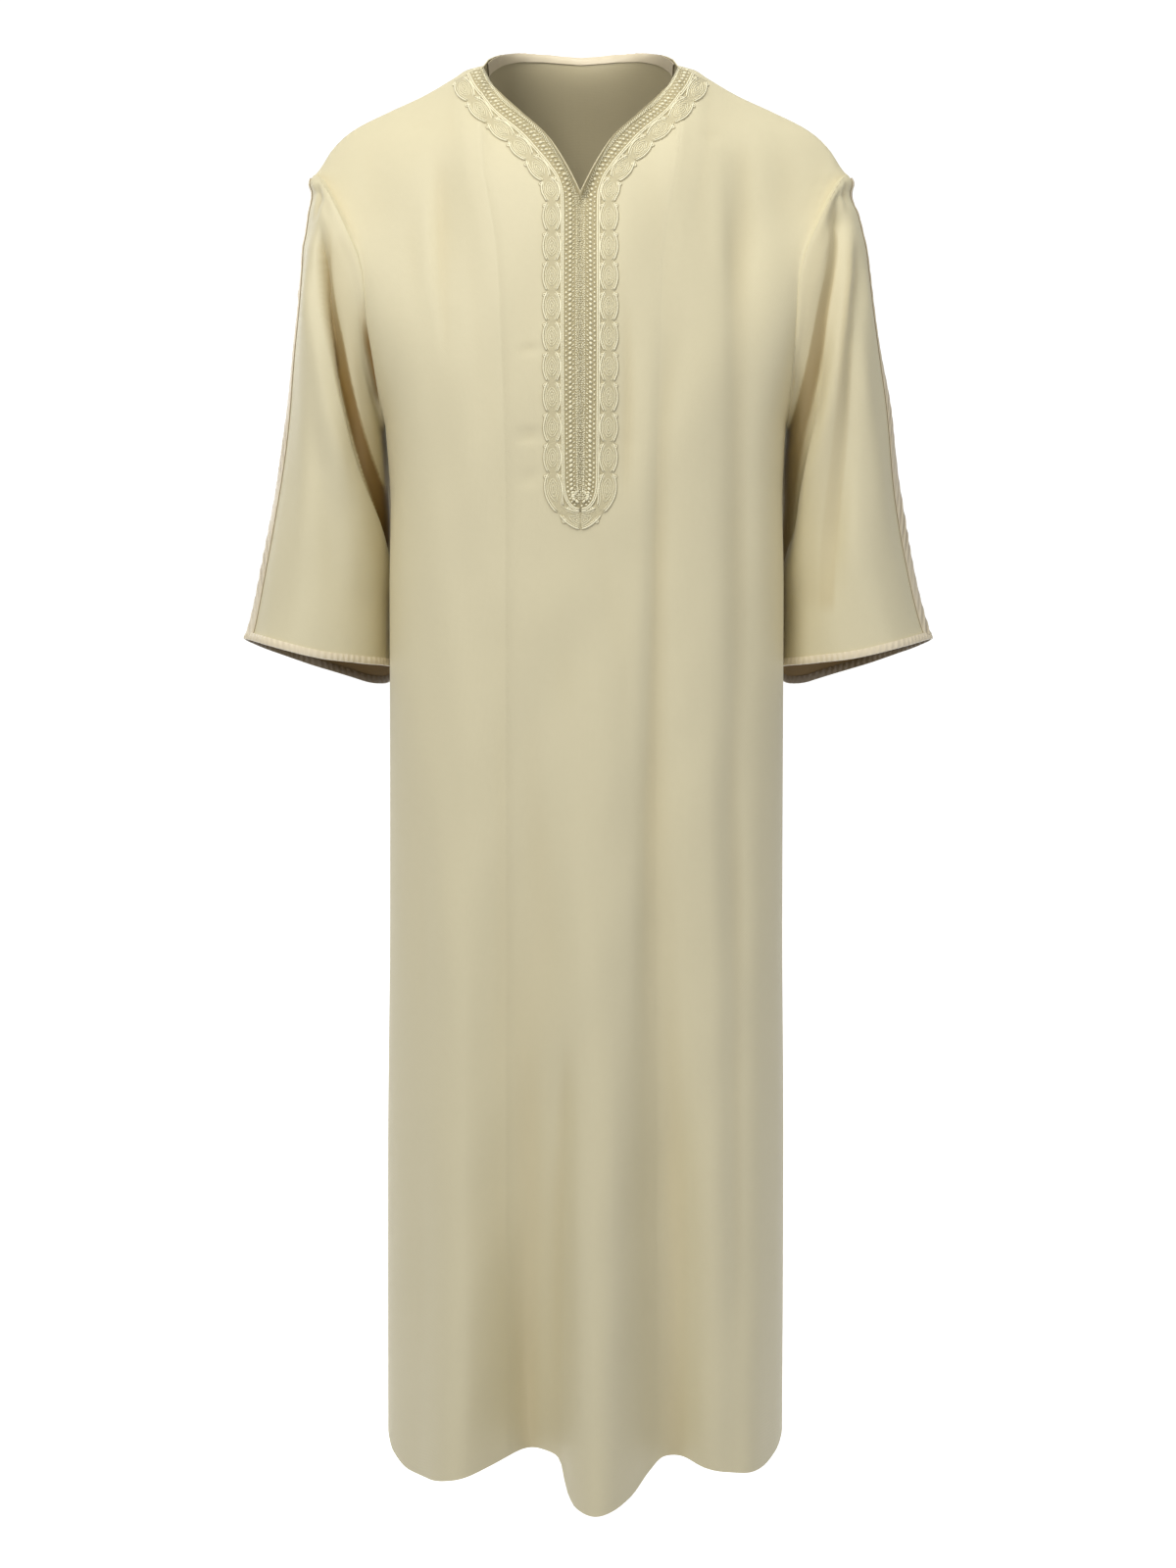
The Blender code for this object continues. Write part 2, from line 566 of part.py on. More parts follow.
# Band inside the back of the neck
BAND = 12.0
BAND_WALL = 1.0
across = front_across * np.sign(front[0, :, 0])
across = np.clip(across[np.abs(across) < NECK_HALF + 1.0], -82.0, 82.0)[None]
level = curve(NECKLINE, 2, np.abs(across)) - np.array([0.6, BAND / 2, BAND])[:, None]
across = across + 0 * level
face = body_point(across, level, 1, -(WALL + LIFT))
lining = body_point(across, level, 1, -(WALL + LIFT + BAND_WALL))
add_wall("neck_band", face, lining, False, SATIN, 0.35)
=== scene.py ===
# %% [markdown]
# # A thobe robe, filled out as if worn
#
# The robe is a straight full-length garment of heavy satin-backed crepe, with flared sleeves to
# the elbow, a neckline and placket worked in cord and knots, and satin on the sleeves and cuffs.
# The CAD solids fix its form and size. This lesson gives each of them a finer skin: thin shells
# with small creases for the cloth, stitched cords for the braid, and woven, shining finishes.

# %% The frame, the units and the tools
import math

import bpy
import numpy as np
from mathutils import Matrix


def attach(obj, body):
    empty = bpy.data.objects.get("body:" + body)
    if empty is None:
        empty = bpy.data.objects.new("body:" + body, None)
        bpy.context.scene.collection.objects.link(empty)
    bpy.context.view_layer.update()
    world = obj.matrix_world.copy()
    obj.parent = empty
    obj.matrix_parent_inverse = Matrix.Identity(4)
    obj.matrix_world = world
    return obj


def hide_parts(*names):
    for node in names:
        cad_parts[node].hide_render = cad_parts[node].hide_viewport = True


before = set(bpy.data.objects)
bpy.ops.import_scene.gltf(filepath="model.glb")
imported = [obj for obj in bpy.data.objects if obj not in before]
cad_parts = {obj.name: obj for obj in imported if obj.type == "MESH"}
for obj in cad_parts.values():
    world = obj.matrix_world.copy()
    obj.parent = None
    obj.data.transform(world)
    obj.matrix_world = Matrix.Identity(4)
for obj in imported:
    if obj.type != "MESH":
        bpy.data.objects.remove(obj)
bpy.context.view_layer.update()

MM = 0.001  # every size below is in millimetres until a mesh is made

# %% [markdown]
# ## The robe's pattern
#
# A garment is cut from a pattern, and the same holds here. Short tables give the half width and the
# depth of the robe at a few levels, the neckline, the hem and the main folds. Most of them repeat
# the tables of the CAD source, so the finer shells lie on the solids, and the hem's has more waves.
# Reading them through one smooth curve function is the numeric version of a tailor's French curve.

# %% Main sizes of the pattern
NECK_HALF = 91.0  # centre to the neck end of a shoulder seam
SHOULDER_HALF = 249.0  # centre to the sleeve end of a shoulder seam
SHOULDER_LEVEL = -98.0
UNDERARM_LEVEL = -330.0
ARMHOLE_REACH = 62.0  # how far the armhole reaches forward and back
SWAY_HALF = 180.0  # distance from the middle at which the sides take the whole sway
SEAM_GAP = 0.06  # between two pieces along a seam
CLOTH = 0.9  # thickness of the cloth

# level, half width, front depth, back depth, squareness, front fall, back fall
SECTIONS = (
    (29.0, 79.0, 2.0, 77.0, 2.0, 1.00, 0.60),
    (19.0, 85.0, 5.0, 82.0, 2.0, 1.00, 0.70),
    (2.0, 91.5, 15.0, 88.0, 2.0, 1.00, 1.00),
    (-1.0, 105.0, 19.0, 90.0, 2.0, 1.00, 1.20),
    (-9.0, 118.0, 29.0, 93.0, 2.0, 1.00, 1.40),
    (-25.0, 146.0, 46.0, 98.0, 2.0, 1.00, 1.50),
    (-40.0, 179.0, 59.0, 102.0, 2.0, 1.00, 1.50),
    (-56.0, 211.0, 70.0, 105.0, 2.0, 1.00, 1.40),
    (-74.0, 232.5, 80.0, 108.0, 2.0, 1.00, 1.30),
    (-98.0, 249.0, 91.0, 111.0, 2.0, 1.00, 1.20),
    (-104.0, 242.0, 93.0, 112.0, 2.0, 1.00, 1.15),
    (-118.0, 233.0, 97.0, 113.0, 2.0, 0.97, 1.05),
    (-137.0, 223.0, 102.0, 114.0, 2.0, 0.94, 1.00),
    (-160.0, 212.0, 107.0, 115.0, 2.1, 0.90, 0.95),
    (-182.0, 203.0, 110.0, 115.0, 2.2, 0.85, 0.90),
    (-200.0, 199.0, 112.0, 115.0, 2.3, 0.80, 0.85),
    (-237.0, 196.0, 115.0, 114.0, 2.5, 0.66, 0.70),
    (-276.0, 192.0, 117.0, 112.0, 2.7, 0.57, 0.60),
    (-316.0, 189.0, 118.0, 110.0, 2.8, 0.46, 0.50),
    (-345.0, 187.0, 118.0, 108.0, 2.8, 0.43, 0.46),
    (-400.0, 184.5, 117.0, 105.0, 2.5, 0.43, 0.47),
    (-470.0, 185.5, 116.0, 105.0, 2.3, 0.435, 0.48),
    (-600.0, 186.0, 115.0, 108.0, 2.3, 0.435, 0.50),
    (-800.0, 187.0, 115.0, 111.0, 2.35, 0.43, 0.50),
    (-1024.0, 190.0, 115.0, 114.0, 2.5, 0.42, 0.50),
    (-1150.0, 190.5, 115.0, 115.0, 2.65, 0.40, 0.50),
    (-1330.0, 191.0, 115.0, 116.0, 2.8, 0.39, 0.50),
)
WIDTH, FRONT, BACK, SQUARE, FALL_FRONT, FALL_BACK = range(1, 7)

# distance from the middle, level of the front neckline, level of the back neckline
NECKLINE = (
    (0.0, -131.0, 28.0),
    (14.0, -104.0, 28.4),
    (30.0, -78.0, 28.6),
    (54.0, -53.0, 26.6),
    (72.0, -33.0, 21.0),
    (84.0, -16.0, 12.0),
    (91.0, 2.0, 2.0),
)
# distance from the middle, level of the shoulder seam
SHOULDER = tuple((row[1], row[0]) for row in SECTIONS if SHOULDER_LEVEL <= row[0] <= 2.0)
HEM_HALF = 190.0  # half width of the hem's table
# across, level of the front hem, level of the back hem
HEM = (
    (-190.0, -1291.0, -1291.0),
    (-182.0, -1302.0, -1296.5),
    (-164.0, -1309.0, -1298.5),
    (-143.0, -1305.5, -1297.5),
    (-121.0, -1299.0, -1297.0),
    (-85.0, -1293.0, -1299.0),
    (-56.0, -1286.6, -1303.0),
    (-33.0, -1284.0, -1303.0),
    (-22.0, -1283.0, -1301.0),
    (-17.5, -1287.5, -1299.5),
    (-12.5, -1306.0, -1298.5),
    (-4.0, -1314.5, -1296.5),
    (10.0, -1315.5, -1295.0),
    (28.0, -1313.5, -1296.0),
    (45.0, -1309.5, -1298.0),
    (62.0, -1297.0, -1301.0),
    (76.0, -1289.0, -1304.0),
    (92.0, -1290.0, -1305.0),
    (113.0, -1296.0, -1301.0),
    (143.0, -1301.0, -1297.0),
    (167.0, -1303.5, -1298.0),
    (181.0, -1299.0, -1297.0),
    (190.0, -1290.0, -1290.0),
)
# The whole robe hangs a little to one side lower down: level, shift across
SWAY = ((0.0, 0.0), (-200.0, 0.5), (-330.0, 4.5), (-420.0, 5.5), (-1330.0, 4.0))

# start level, end level, across at start and end, depth at start and end, width at start and end
FRONT_FOLDS = (
    (-430.0, -1320.0, 6.0, 14.0, 0.0, 58.0, 58.0, 36.0),
    (-480.0, -1320.0, -38.0, -45.0, 0.0, -37.0, 46.0, 30.0),
    (-360.0, -1320.0, -112.0, -124.0, 0.0, 30.0, 52.0, 33.0),
    (-330.0, -1320.0, 64.0, 88.0, 0.0, -21.0, 34.0, 25.0),
    (-240.0, -1320.0, 112.0, 146.0, 0.0, 27.0, 40.0, 30.0),
    (-60.0, -1290.0, 148.0, 138.0, -5.0, -7.0, 17.0, 17.0),
    (-70.0, -230.0, -131.0, -122.0, -5.0, 0.0, 17.0, 20.0),
)
BACK_FOLDS = (
    (-420.0, -1320.0, -6.0, -14.0, 0.0, 30.0, 56.0, 32.0),
    (-500.0, -1320.0, 42.0, 50.0, 0.0, -24.0, 44.0, 28.0),
    (-380.0, -1320.0, 96.0, 108.0, 0.0, 22.0, 46.0, 30.0),
    (-460.0, -1320.0, -62.0, -74.0, 0.0, -22.0, 44.0, 26.0),
    (-300.0, -1320.0, -116.0, -130.0, 0.0, 20.0, 44.0, 30.0),
)


# %% [markdown]
# ## Curves and small helpers
#
# A curve through a few chosen points must not overshoot between them, or a straight side seam would
# ripple. The tangents here are harmonic means of the neighbouring slopes, which keeps every stretch
# between its two points. NumPy works on whole grids at once, so a dense shell costs no more effort
# than one point.

# %% Curves and small helpers
TABLE_SIDE = {-1: 1, 1: 2}  # column of a table that gives the front or -X first, then the other


def curve(table, column, at):
    """A smooth curve through one column of a table, read at the table's first column."""
    rows = np.array(table, float)
    rows = rows[rows[:, 0].argsort()]
    x, y = rows[:, 0], rows[:, column]
    span = np.diff(x)
    slope = np.diff(y) / span
    product = slope[:-1] * slope[1:]
    total = np.where(product > 0, slope[:-1] + slope[1:], 1.0)
    tangent = np.concatenate([slope[:1], np.where(product > 0, 2 * product / total, 0.0), slope[-1:]])
    at = np.clip(at, x[0], x[-1])
    k = np.clip(np.searchsorted(x, at) - 1, 0, len(span) - 1)
    t = (at - x[k]) / span[k]
    ends = (1 + 2 * t) * (1 - t) ** 2 * y[k] + t * t * (3 - 2 * t) * y[k + 1]
    return ends + span[k] * t * (1 - t) * ((1 - t) * tangent[k] - t * tangent[k + 1])


def ease(t):
    """0 to 1 with level ends."""
    t = np.clip(t, 0.0, 1.0)
    return t * t * (3 - 2 * t)


def unit(vectors):
    """The same directions with a length of 1."""
    return vectors / np.maximum(np.linalg.norm(vectors, axis=-1, keepdims=True), 1e-9)


def lerp(a, b, t):
    """What lies a share t of the way from a to b."""
    return a + (b - a) * t


def distances(line):
    """Distance along one line of points, from its start."""
    return np.concatenate([[0.0], np.cumsum(np.linalg.norm(np.diff(line, axis=0), axis=1))])


def on_line(at, way, line):
    """Points at some distances along a line, whose own points stand at the distances in way."""
    return np.stack([np.interp(at, way, line[:, k]) for k in range(line.shape[1])], axis=-1)


def grid_normals(grid, ring=False):
    """Unit normals of a grid of points, whose rows go down and columns across or round."""
    if ring:
        along = np.roll(grid, -1, axis=1) - np.roll(grid, 1, axis=1)
    else:
        along = np.gradient(grid, axis=1)
    return unit(np.cross(along, np.gradient(grid, axis=0)))


def lengths(grid, axis):
    """Distance along each row (axis 1) or down each column (axis 0) of a grid, from its start."""
    steps = np.linalg.norm(np.diff(grid, axis=axis), axis=-1)
    total = np.cumsum(steps, axis=axis)
    start = np.zeros_like(np.take(total, [0], axis=axis))
    return np.concatenate([start, total], axis=axis)


# %% [markdown]
# ## Creases laid one by one
#
# Large folds come from the pattern tables. What makes cloth look worn in is the next size down: soft
# troughs and ridges that start somewhere, wander and die out, no two alike. A simulation gives
# creases in random places, so these are given one by one instead. Each row below is one crease, with
# its path, its height and a width on either side. A narrow side makes a sharp edge and a wide side
# a slow roll, which is how a hanging fold really turns over.

# %% Creases of the body panels
# start level, end level, across at start, middle and end, height, width towards -X, width towards +X
FRONT_CREASES = (
    (-80.0, -250.0, -137.0, -139.0, -134.0, 2.0, 10.0, 8.0),
    (-84.0, -300.0, -126.0, -124.0, -119.0, -2.2, 7.0, 13.0),
    (-78.0, -240.0, 124.0, 127.0, 129.0, 1.8, 12.0, 8.0),
    (-110.0, -700.0, 137.0, 138.0, 139.0, -2.0, 8.0, 12.0),
    (-240.0, -1330.0, 80.0, 61.0, 64.0, -3.4, 11.0, 15.0),
    (-250.0, -900.0, 60.0, 53.0, 46.0, 1.3, 10.0, 8.0),
    (-200.0, -430.0, 42.0, 41.0, 37.0, -1.5, 6.0, 9.0),
    (-520.0, -1330.0, 88.0, 100.0, 108.0, 2.2, 15.0, 13.0),
    (-560.0, -1330.0, 128.0, 140.0, 141.0, -3.0, 13.0, 11.0),
    (-640.0, -1330.0, 152.0, 162.0, 166.0, 1.8, 10.0, 9.0),
    (-460.0, -1330.0, -70.0, -76.0, -82.0, -1.4, 18.0, 14.0),
    (-620.0, -1330.0, -146.0, -150.0, -154.0, -2.0, 12.0, 13.0),
    (-760.0, -1330.0, -104.0, -108.0, -104.0, 1.4, 14.0, 12.0),
    (-900.0, -1330.0, 26.0, 32.0, 34.0, 1.4, 12.0, 12.0),
    (-880.0, -1330.0, -12.0, -18.0, -20.0, -8.0, 12.0, 9.0),
)
BACK_CREASES = (
    (-70.0, -260.0, -128.0, -126.0, -118.0, -2.4, 8.0, 11.0),
    (-64.0, -280.0, 132.0, 129.0, 120.0, -2.2, 10.0, 8.0),
    (-60.0, -330.0, -146.0, -150.0, -146.0, 1.8, 9.0, 7.0),
    (-360.0, -1330.0, -30.0, -34.0, -40.0, -3.0, 8.0, 10.0),
    (-440.0, -1330.0, 16.0, 20.0, 18.0, -2.4, 10.0, 8.0),
    (-420.0, -1330.0, 72.0, 78.0, 82.0, 2.0, 12.0, 9.0),
    (-520.0, -1330.0, 138.0, 142.0, 146.0, -3.0, 8.0, 11.0),
    (-600.0, -1330.0, -96.0, -98.0, -104.0, 1.8, 10.0, 8.0),
    (-480.0, -1330.0, -146.0, -150.0, -154.0, -2.6, 9.0, 8.0),
    (-820.0, -1330.0, 118.0, 122.0, 126.0, 1.6, 8.0, 8.0),
)
# level, across, half length across, half height, depth: short puckers that pull across
FRONT_PUCKERS = (
    (-272.0, -45.0, 9.0, 3.2, -1.3),
    (-347.0, -45.0, 12.0, 3.2, -2.3),
    (-384.0, -44.0, 11.0, 3.6, -1.6),
    (-352.0, 44.0, 10.0, 3.4, -0.8),
    (-62.0, -146.0, 14.0, 6.0, -1.0),
    (-74.0, 118.0, 13.0, 6.0, -0.9),
)
BACK_PUCKERS = (
    (-70.0, -150.0, 16.0, 6.0, -1.0),
    (-66.0, 142.0, 15.0, 6.0, -1.0),
)
# wavelength across, wavelength down, height, phase: the slack that is in any hanging cloth
SLACK = (
    (95.0, 410.0, 0.55, 0.4),
    (61.0, 270.0, 0.40, 2.1),
    (140.0, 190.0, 0.45, 4.0),
    (43.0, 330.0, 0.25, 5.2),
    (76.0, 120.0, 0.22, 1.3),
)
CREASE_GROWS = 90.0  # distance over which a crease starts
CREASE_ENDS = 70.0  # distance over which it dies out
TO_THE_HEM = -1300.0  # a crease that ends lower than this doesn't die out
PUCKER_LEAN = 0.12
SLACK_TOP, SLACK_GROWS = 40.0, 160.0  # where the slack starts, and the drop to its full height
FOLD_GROWS = 60.0  # drop over which a large fold starts
FOLD_OPENS = 1.2  # power with which it deepens on its way down


def crease_height(creases, x, level):
    """Sum of the hand-laid creases of a panel."""
    out = np.zeros(np.broadcast(x, level).shape)
    for top, end, x_0, x_1, x_2, height, near, far in creases:
        t = np.clip((top - level) / (top - end), 0.0, 1.0)
        middle = (1 - t) * (1 - 2 * t) * x_0 + 4 * t * (1 - t) * x_1 + t * (2 * t - 1) * x_2
        away = x - middle
        fade = (level - end) / CREASE_ENDS if end > TO_THE_HEM else 1.0
        grow = ease((top - level) / CREASE_GROWS) * ease(fade)
        out = out + height * grow * np.exp(-((away / np.where(away < 0, near, far)) ** 2))
    return out


def pucker_height(puckers, x, level):
    """Sum of the short puckers of a panel."""
    out = np.zeros(np.broadcast(x, level).shape)
    for at, middle, half_length, half_height, depth in puckers:
        lean = PUCKER_LEAN * (x - middle)
        along, over = (x - middle) / half_length, (level - at - lean) / half_height
        out = out + depth * np.exp(-(along ** 2)) * np.exp(-(over ** 2))
    return out


def slack_height(x, level):
    """Low, wide waves that cross each other."""
    waves = (
        height * np.sin(2 * np.pi * (x / across + level / down * (-1) ** k) + phase)
        for k, (across, down, height, phase) in enumerate(SLACK)
    )
    return sum(waves) * ease((SLACK_TOP - level) / SLACK_GROWS)


def fold_depth(folds, x, level):
    """How far the large folds of one panel push it outwards."""
    out = np.zeros(np.broadcast(x, level).shape)
    for top, end, x_top, x_end, depth_top, depth_end, wide_top, wide_end in folds:
        t = np.clip((top - level) / (top - end), 0.0, 1.0)
        depth = (depth_top + (depth_end - depth_top) * t ** FOLD_OPENS) * ease((top - level) / FOLD_GROWS)
        middle = x_top + (x_end - x_top) * t
        wide = wide_top + (wide_end - wide_top) * t
        out = out + depth * np.exp(-(((x - middle) / wide) ** 2))
    return out


# %% [markdown]
# ## The two body panels
#
# The front and back are each one width of cloth from the shoulders to the hem. A panel is a grid of
# points, denser near the edges where it turns to the side seams. Its outer face is the pattern's
# depth at that level, falling away towards the sides, then relaxed so that no pattern line shows as a
# ridge, plus folds, creases and slack. Where a panel is sewn to its neighbour the thread pulls the
# edges in a little, so the cloth puffs up beside the seam and puckers along it.

# %% Outer face of a body panel
ARMHOLE_ROWS = 88
SKIRT_ROWS = 132
COLUMNS = {-1: (24, 74), 1: (18, 55)}  # front, back: on each side, under the neck and the shoulder
SKIRT_LENGTH = 970.0
HEM_ROWS = (6.0, 3.0, 1.2, 0.0)  # heights above the hem of a panel's last rows
RELAX_ROUNDS = 260
RELAX_BELOW = 24  # rows below the underarm over which the evening out fades
RELAX_PULL = 0.6  # part of the way each round moves a point, and share of its upright neighbours
SPREAD_LOW, SPREAD_LOW_OVER = -352.0, 125.0  # lower end of the armhole's spread onto the body
SPREAD_TOP, SPREAD_TOP_OVER = -84.0, 100.0  # its upper end
SPREAD_POWER, EDGE_POWER = 5, 60  # how closely the spread and the rest keep to the side
COLUMN_REACH = 36.0  # drop to either side over which the columns' place is evened out
SEAM_PUFF = 0.55  # how far the cloth rises beside a seam
SEAM_RISE = 2.4  # distance over which it rises
PUCKER_PITCH = 8.5  # length of the small gathers along a seam
PUCKER = 0.22  # their height
PUCKER_MIDDLE, PUCKER_WIDE, PUCKER_END = 4.5, 3.6, 16.0  # where they stand beside the seam


def armhole_reach(level):
    """How far the armhole's edge stands forward or back at a level."""
    middle = (SHOULDER_LEVEL + UNDERARM_LEVEL) / 2
    half = (SHOULDER_LEVEL - UNDERARM_LEVEL) / 2
    return ARMHOLE_REACH * np.sqrt(np.clip(1 - ((level - middle) / half) ** 2, 0.0, 1.0))


def body_form(part, level, side):
    """How far the front (side -1) or the back (side +1) stands out, before any fold."""
    front = side < 0
    depth = curve(SECTIONS, FRONT if front else BACK, level)
    fall = curve(SECTIONS, FALL_FRONT if front else FALL_BACK, level)
    edge = armhole_reach(level)
    soft = ARMHOLE_REACH * ease((level - SPREAD_LOW) / SPREAD_LOW_OVER)
    soft = soft * ease((SPREAD_TOP - level) / SPREAD_TOP_OVER)
    body = depth * np.clip(1 - part ** curve(SECTIONS, SQUARE, level), 0.0, 1.0) ** fall
    return body + soft * part ** SPREAD_POWER + (edge - soft) * part ** EDGE_POWER


def relaxed(form, x, level):
    """Evens out the form down to a little below the underarm. Its borders stay."""
    last = ARMHOLE_ROWS + RELAX_BELOW
    rows, above, below = slice(1, last), slice(0, last - 1), slice(2, last + 1)
    place = np.stack([x, level], axis=-1)
    up_way, side_way = (np.linalg.norm(np.diff(place, axis=axis), axis=-1) for axis in (0, 1))
    up = (up_way[1:last] / (up_way[: last - 1] + up_way[1:last]))[:, 1:-1]
    back = side_way[rows, 1:] / (side_way[rows, :-1] + side_way[rows, 1:])
    pull = RELAX_PULL * ease((last - np.arange(1, last)[:, None]) / RELAX_BELOW)
    form = form.copy()
    for _ in range(RELAX_ROUNDS):
        upright = lerp(form[below, 1:-1], form[above, 1:-1], up)
        sideways = lerp(form[rows, 2:], form[rows, :-2], back)
        form[rows, 1:-1] = lerp(form[rows, 1:-1], lerp(sideways, upright, RELAX_PULL), pull)
    return form


def body_folds(x, level, side):
    """All the folds, creases, puckers and slack of the front (side -1) or the back (side +1)."""
    front = side < 0
    folds = fold_depth(FRONT_FOLDS if front else BACK_FOLDS, x, level)
    folds = folds + crease_height(FRONT_CREASES if front else BACK_CREASES, x, level)
    folds = folds + pucker_height(FRONT_PUCKERS if front else BACK_PUCKERS, x, level)
    return folds + slack_height(x * side, level)


def edge_width(level):
    """Half width of a panel at a level. Above the shoulder's end it stays as wide as the shoulder."""
    lower = curve(SECTIONS, WIDTH, np.minimum(level, SHOULDER_LEVEL))
    return np.where(level > SHOULDER_LEVEL, SHOULDER_HALF, lower)


def column_place(part, level):
    """Where a column of points runs: its edge turns sharply at the shoulder, the others gently."""
    shifts = np.linspace(-COLUMN_REACH, COLUMN_REACH, 13)
    gentle = np.mean([edge_width(level + shift) for shift in shifts], axis=0)
    return part * lerp(gentle, edge_width(level), np.abs(part) ** 16)


def settle(points):
    """Moves the sides across by the robe's sway at their level. The middle stays."""
    points = np.array(points, float)
    shift = curve(SWAY, 1, points[..., 2]) * np.clip((points[..., 0] / SWAY_HALF) ** 2, 0.0, 1.0)
    points[..., 0] += shift
    return points


def panel_grid(side):
    """Outer face of a panel, rows from the neck and shoulders to the hem, and the distance across."""
    neck, shoulder = COLUMNS[side]
    neck_part = NECK_HALF / SHOULDER_HALF
    inner = neck_part * np.linspace(0.0, 1.0, neck + 1)
    outer = np.sin(np.linspace(np.arcsin(neck_part), np.pi / 2, shoulder + 1)[1:])
    half = np.concatenate([inner, outer])
    part = np.concatenate([-half[:0:-1], half])
    across = np.abs(part) * SHOULDER_HALF
    neckline = curve(NECKLINE, TABLE_SIDE[side], across)
    top = np.where(across <= NECK_HALF, neckline, curve(SHOULDER, 1, across))
    hem = curve(HEM, TABLE_SIDE[side], part * HEM_HALF)
    even = np.linspace(0.0, 1.0, ARMHOLE_ROWS + 1)[:, None]
    round_steps = (1 - np.cos(np.pi * even)) / 2
    share = np.abs(part) ** 6
    steps = even ** 1.35 * (1 - share) + round_steps * share
    upper = top + (UNDERARM_LEVEL - top) * steps
    fall = np.linspace(0.0, 1.0, SKIRT_ROWS + 1)[1:-1, None] ** 1.06
    edge = 1 - np.array(HEM_ROWS)[:, None] / SKIRT_LENGTH
    fall = np.concatenate([fall[fall[:, 0] < edge[0, 0] - 0.002], edge])
    lower = UNDERARM_LEVEL + (hem - UNDERARM_LEVEL) * fall
    level = np.vstack([upper, lower])
    x = column_place(part, level)
    share = np.clip(np.abs(x) / curve(SECTIONS, WIDTH, level), 0.0, 1.0)
    form = body_form(share, level, side)
    form[0, across >= NECK_HALF] = 0.0
    y = side * (relaxed(form, x, level) + body_folds(x, level, side) * (1 - share ** 8))
    y[0, across >= NECK_HALF] = 0.0
    return settle(np.stack([x, y, level], axis=-1)), across


def seam_relief(distance, along):
    """Rise of the cloth at a distance from a seam, with small gathers along it."""
    rise = SEAM_PUFF * (1 - np.exp(-((distance / SEAM_RISE) ** 2)))
    wave = np.sin(2 * np.pi * along / PUCKER_PITCH + 1.7 * np.sin(along / 23.0))
    near = np.exp(-(((distance - PUCKER_MIDDLE) / PUCKER_WIDE) ** 2))
    return rise + PUCKER * wave * near * (distance < PUCKER_END)


panels = {side: panel_grid(side) for side in (-1, 1)}
raised = {}
for side, (grid, across) in panels.items():
    normal = grid_normals(grid) * side
    row_way, column_way = lengths(grid, 1), lengths(grid, 0)
    to_side = np.minimum(row_way, row_way[:, -1:] - row_way)
    to_shoulder = np.where(across >= NECK_HALF, column_way, 1e3)
    along = np.where(to_side < to_shoulder, column_way, row_way)
    relief = seam_relief(np.minimum(to_side, to_shoulder), along)
    raised[side] = grid + normal * relief[..., None]
    below = slice(ARMHOLE_ROWS, None)
    for rows, columns in ((0, across >= NECK_HALF), (below, 0), (below, -1)):
        raised[side][rows, columns, 1] = side * SEAM_GAP / 2
    print("panel", side, "points", grid.shape[:2])

# %% [markdown]
# ## Laying trims on a curved panel
#
# A trim has to follow every fold of the cloth under it. The finished face is read once into a height
# map with a point each millimetre, and any place across and down then gives a point on the cloth and
# the direction straight out of it. Everything stitched on below asks this map where it lies.

# %% Height map of the panels
MAP_STEP = 1.0
MAP_ACROSS = {-1: (-134.0, 134.0), 1: (-92.0, 92.0)}
MAP_LEVELS = {-1: (8.0, -448.0), 1: (32.0, -40.0)}
MAP_BELOW = 40  # rows below the underarm that the map reads


def height_map(side):
    """Heights of a panel on an even grid of levels and places across."""
    grid = raised[side]
    across = np.arange(MAP_ACROSS[side][0], MAP_ACROSS[side][1] + 0.5, MAP_STEP)
    levels = np.arange(MAP_LEVELS[side][0], MAP_LEVELS[side][1] - 0.5, -MAP_STEP)
    reach = grid[: ARMHOLE_ROWS + MAP_BELOW]
    heights, drops = (
        np.array([np.interp(across, row[:, 0], row[:, k]) for row in reach]) for k in (1, 2)
    )
    columns = [
        np.interp(levels[::-1], drop[::-1], height[::-1])[::-1]
        for drop, height in zip(drops.T, heights.T)
    ]
    return across, levels, np.stack(columns, axis=1)


maps = {side: height_map(side) for side in (-1, 1)}


def on_panel(x, level, side, lift=0.0):
    """Points on a panel lifted off its face, and the unit directions out of it."""
    across, levels, heights = maps[side]
    u = np.clip((np.asarray(x, float) - across[0]) / MAP_STEP, 0.0, len(across) - 1.001)
    v = np.clip((levels[0] - np.asarray(level, float)) / MAP_STEP, 0.0, len(levels) - 1.001)
    i, j = v.astype(int), u.astype(int)
    s, t = v - i, u - j
    a, b = heights[i, j], heights[i, j + 1]
    c, d = heights[i + 1, j], heights[i + 1, j + 1]
    y = lerp(lerp(a, b, t), lerp(c, d, t), s)
    slope_x = lerp(b - a, d - c, s) / MAP_STEP
    slope_z = lerp(a - c, b - d, t) / MAP_STEP
    out = unit(np.stack([-slope_x, np.ones_like(y), -slope_z], axis=-1)) * side
    base = np.stack(np.broadcast_arrays(x, y, level), axis=-1)
    return base + out * np.broadcast_to(lift, y.shape)[..., None], out

# %% [markdown]
# ## The sleeves
#
# A sleeve is a tube that starts on the armhole's own curve and opens into the flared cuff. Each ring
# of points is placed by a turn round the arm, with 0 on the outer line and a quarter turn in front.
# The deep creases of a worn sleeve spiral: they leave the front of the shoulder and run down and in
# towards the underarm, because the sleeve hangs while the armhole faces sideways. Each is drawn as
# a path over the sleeve, and the cloth sinks or swells by its distance from that path.

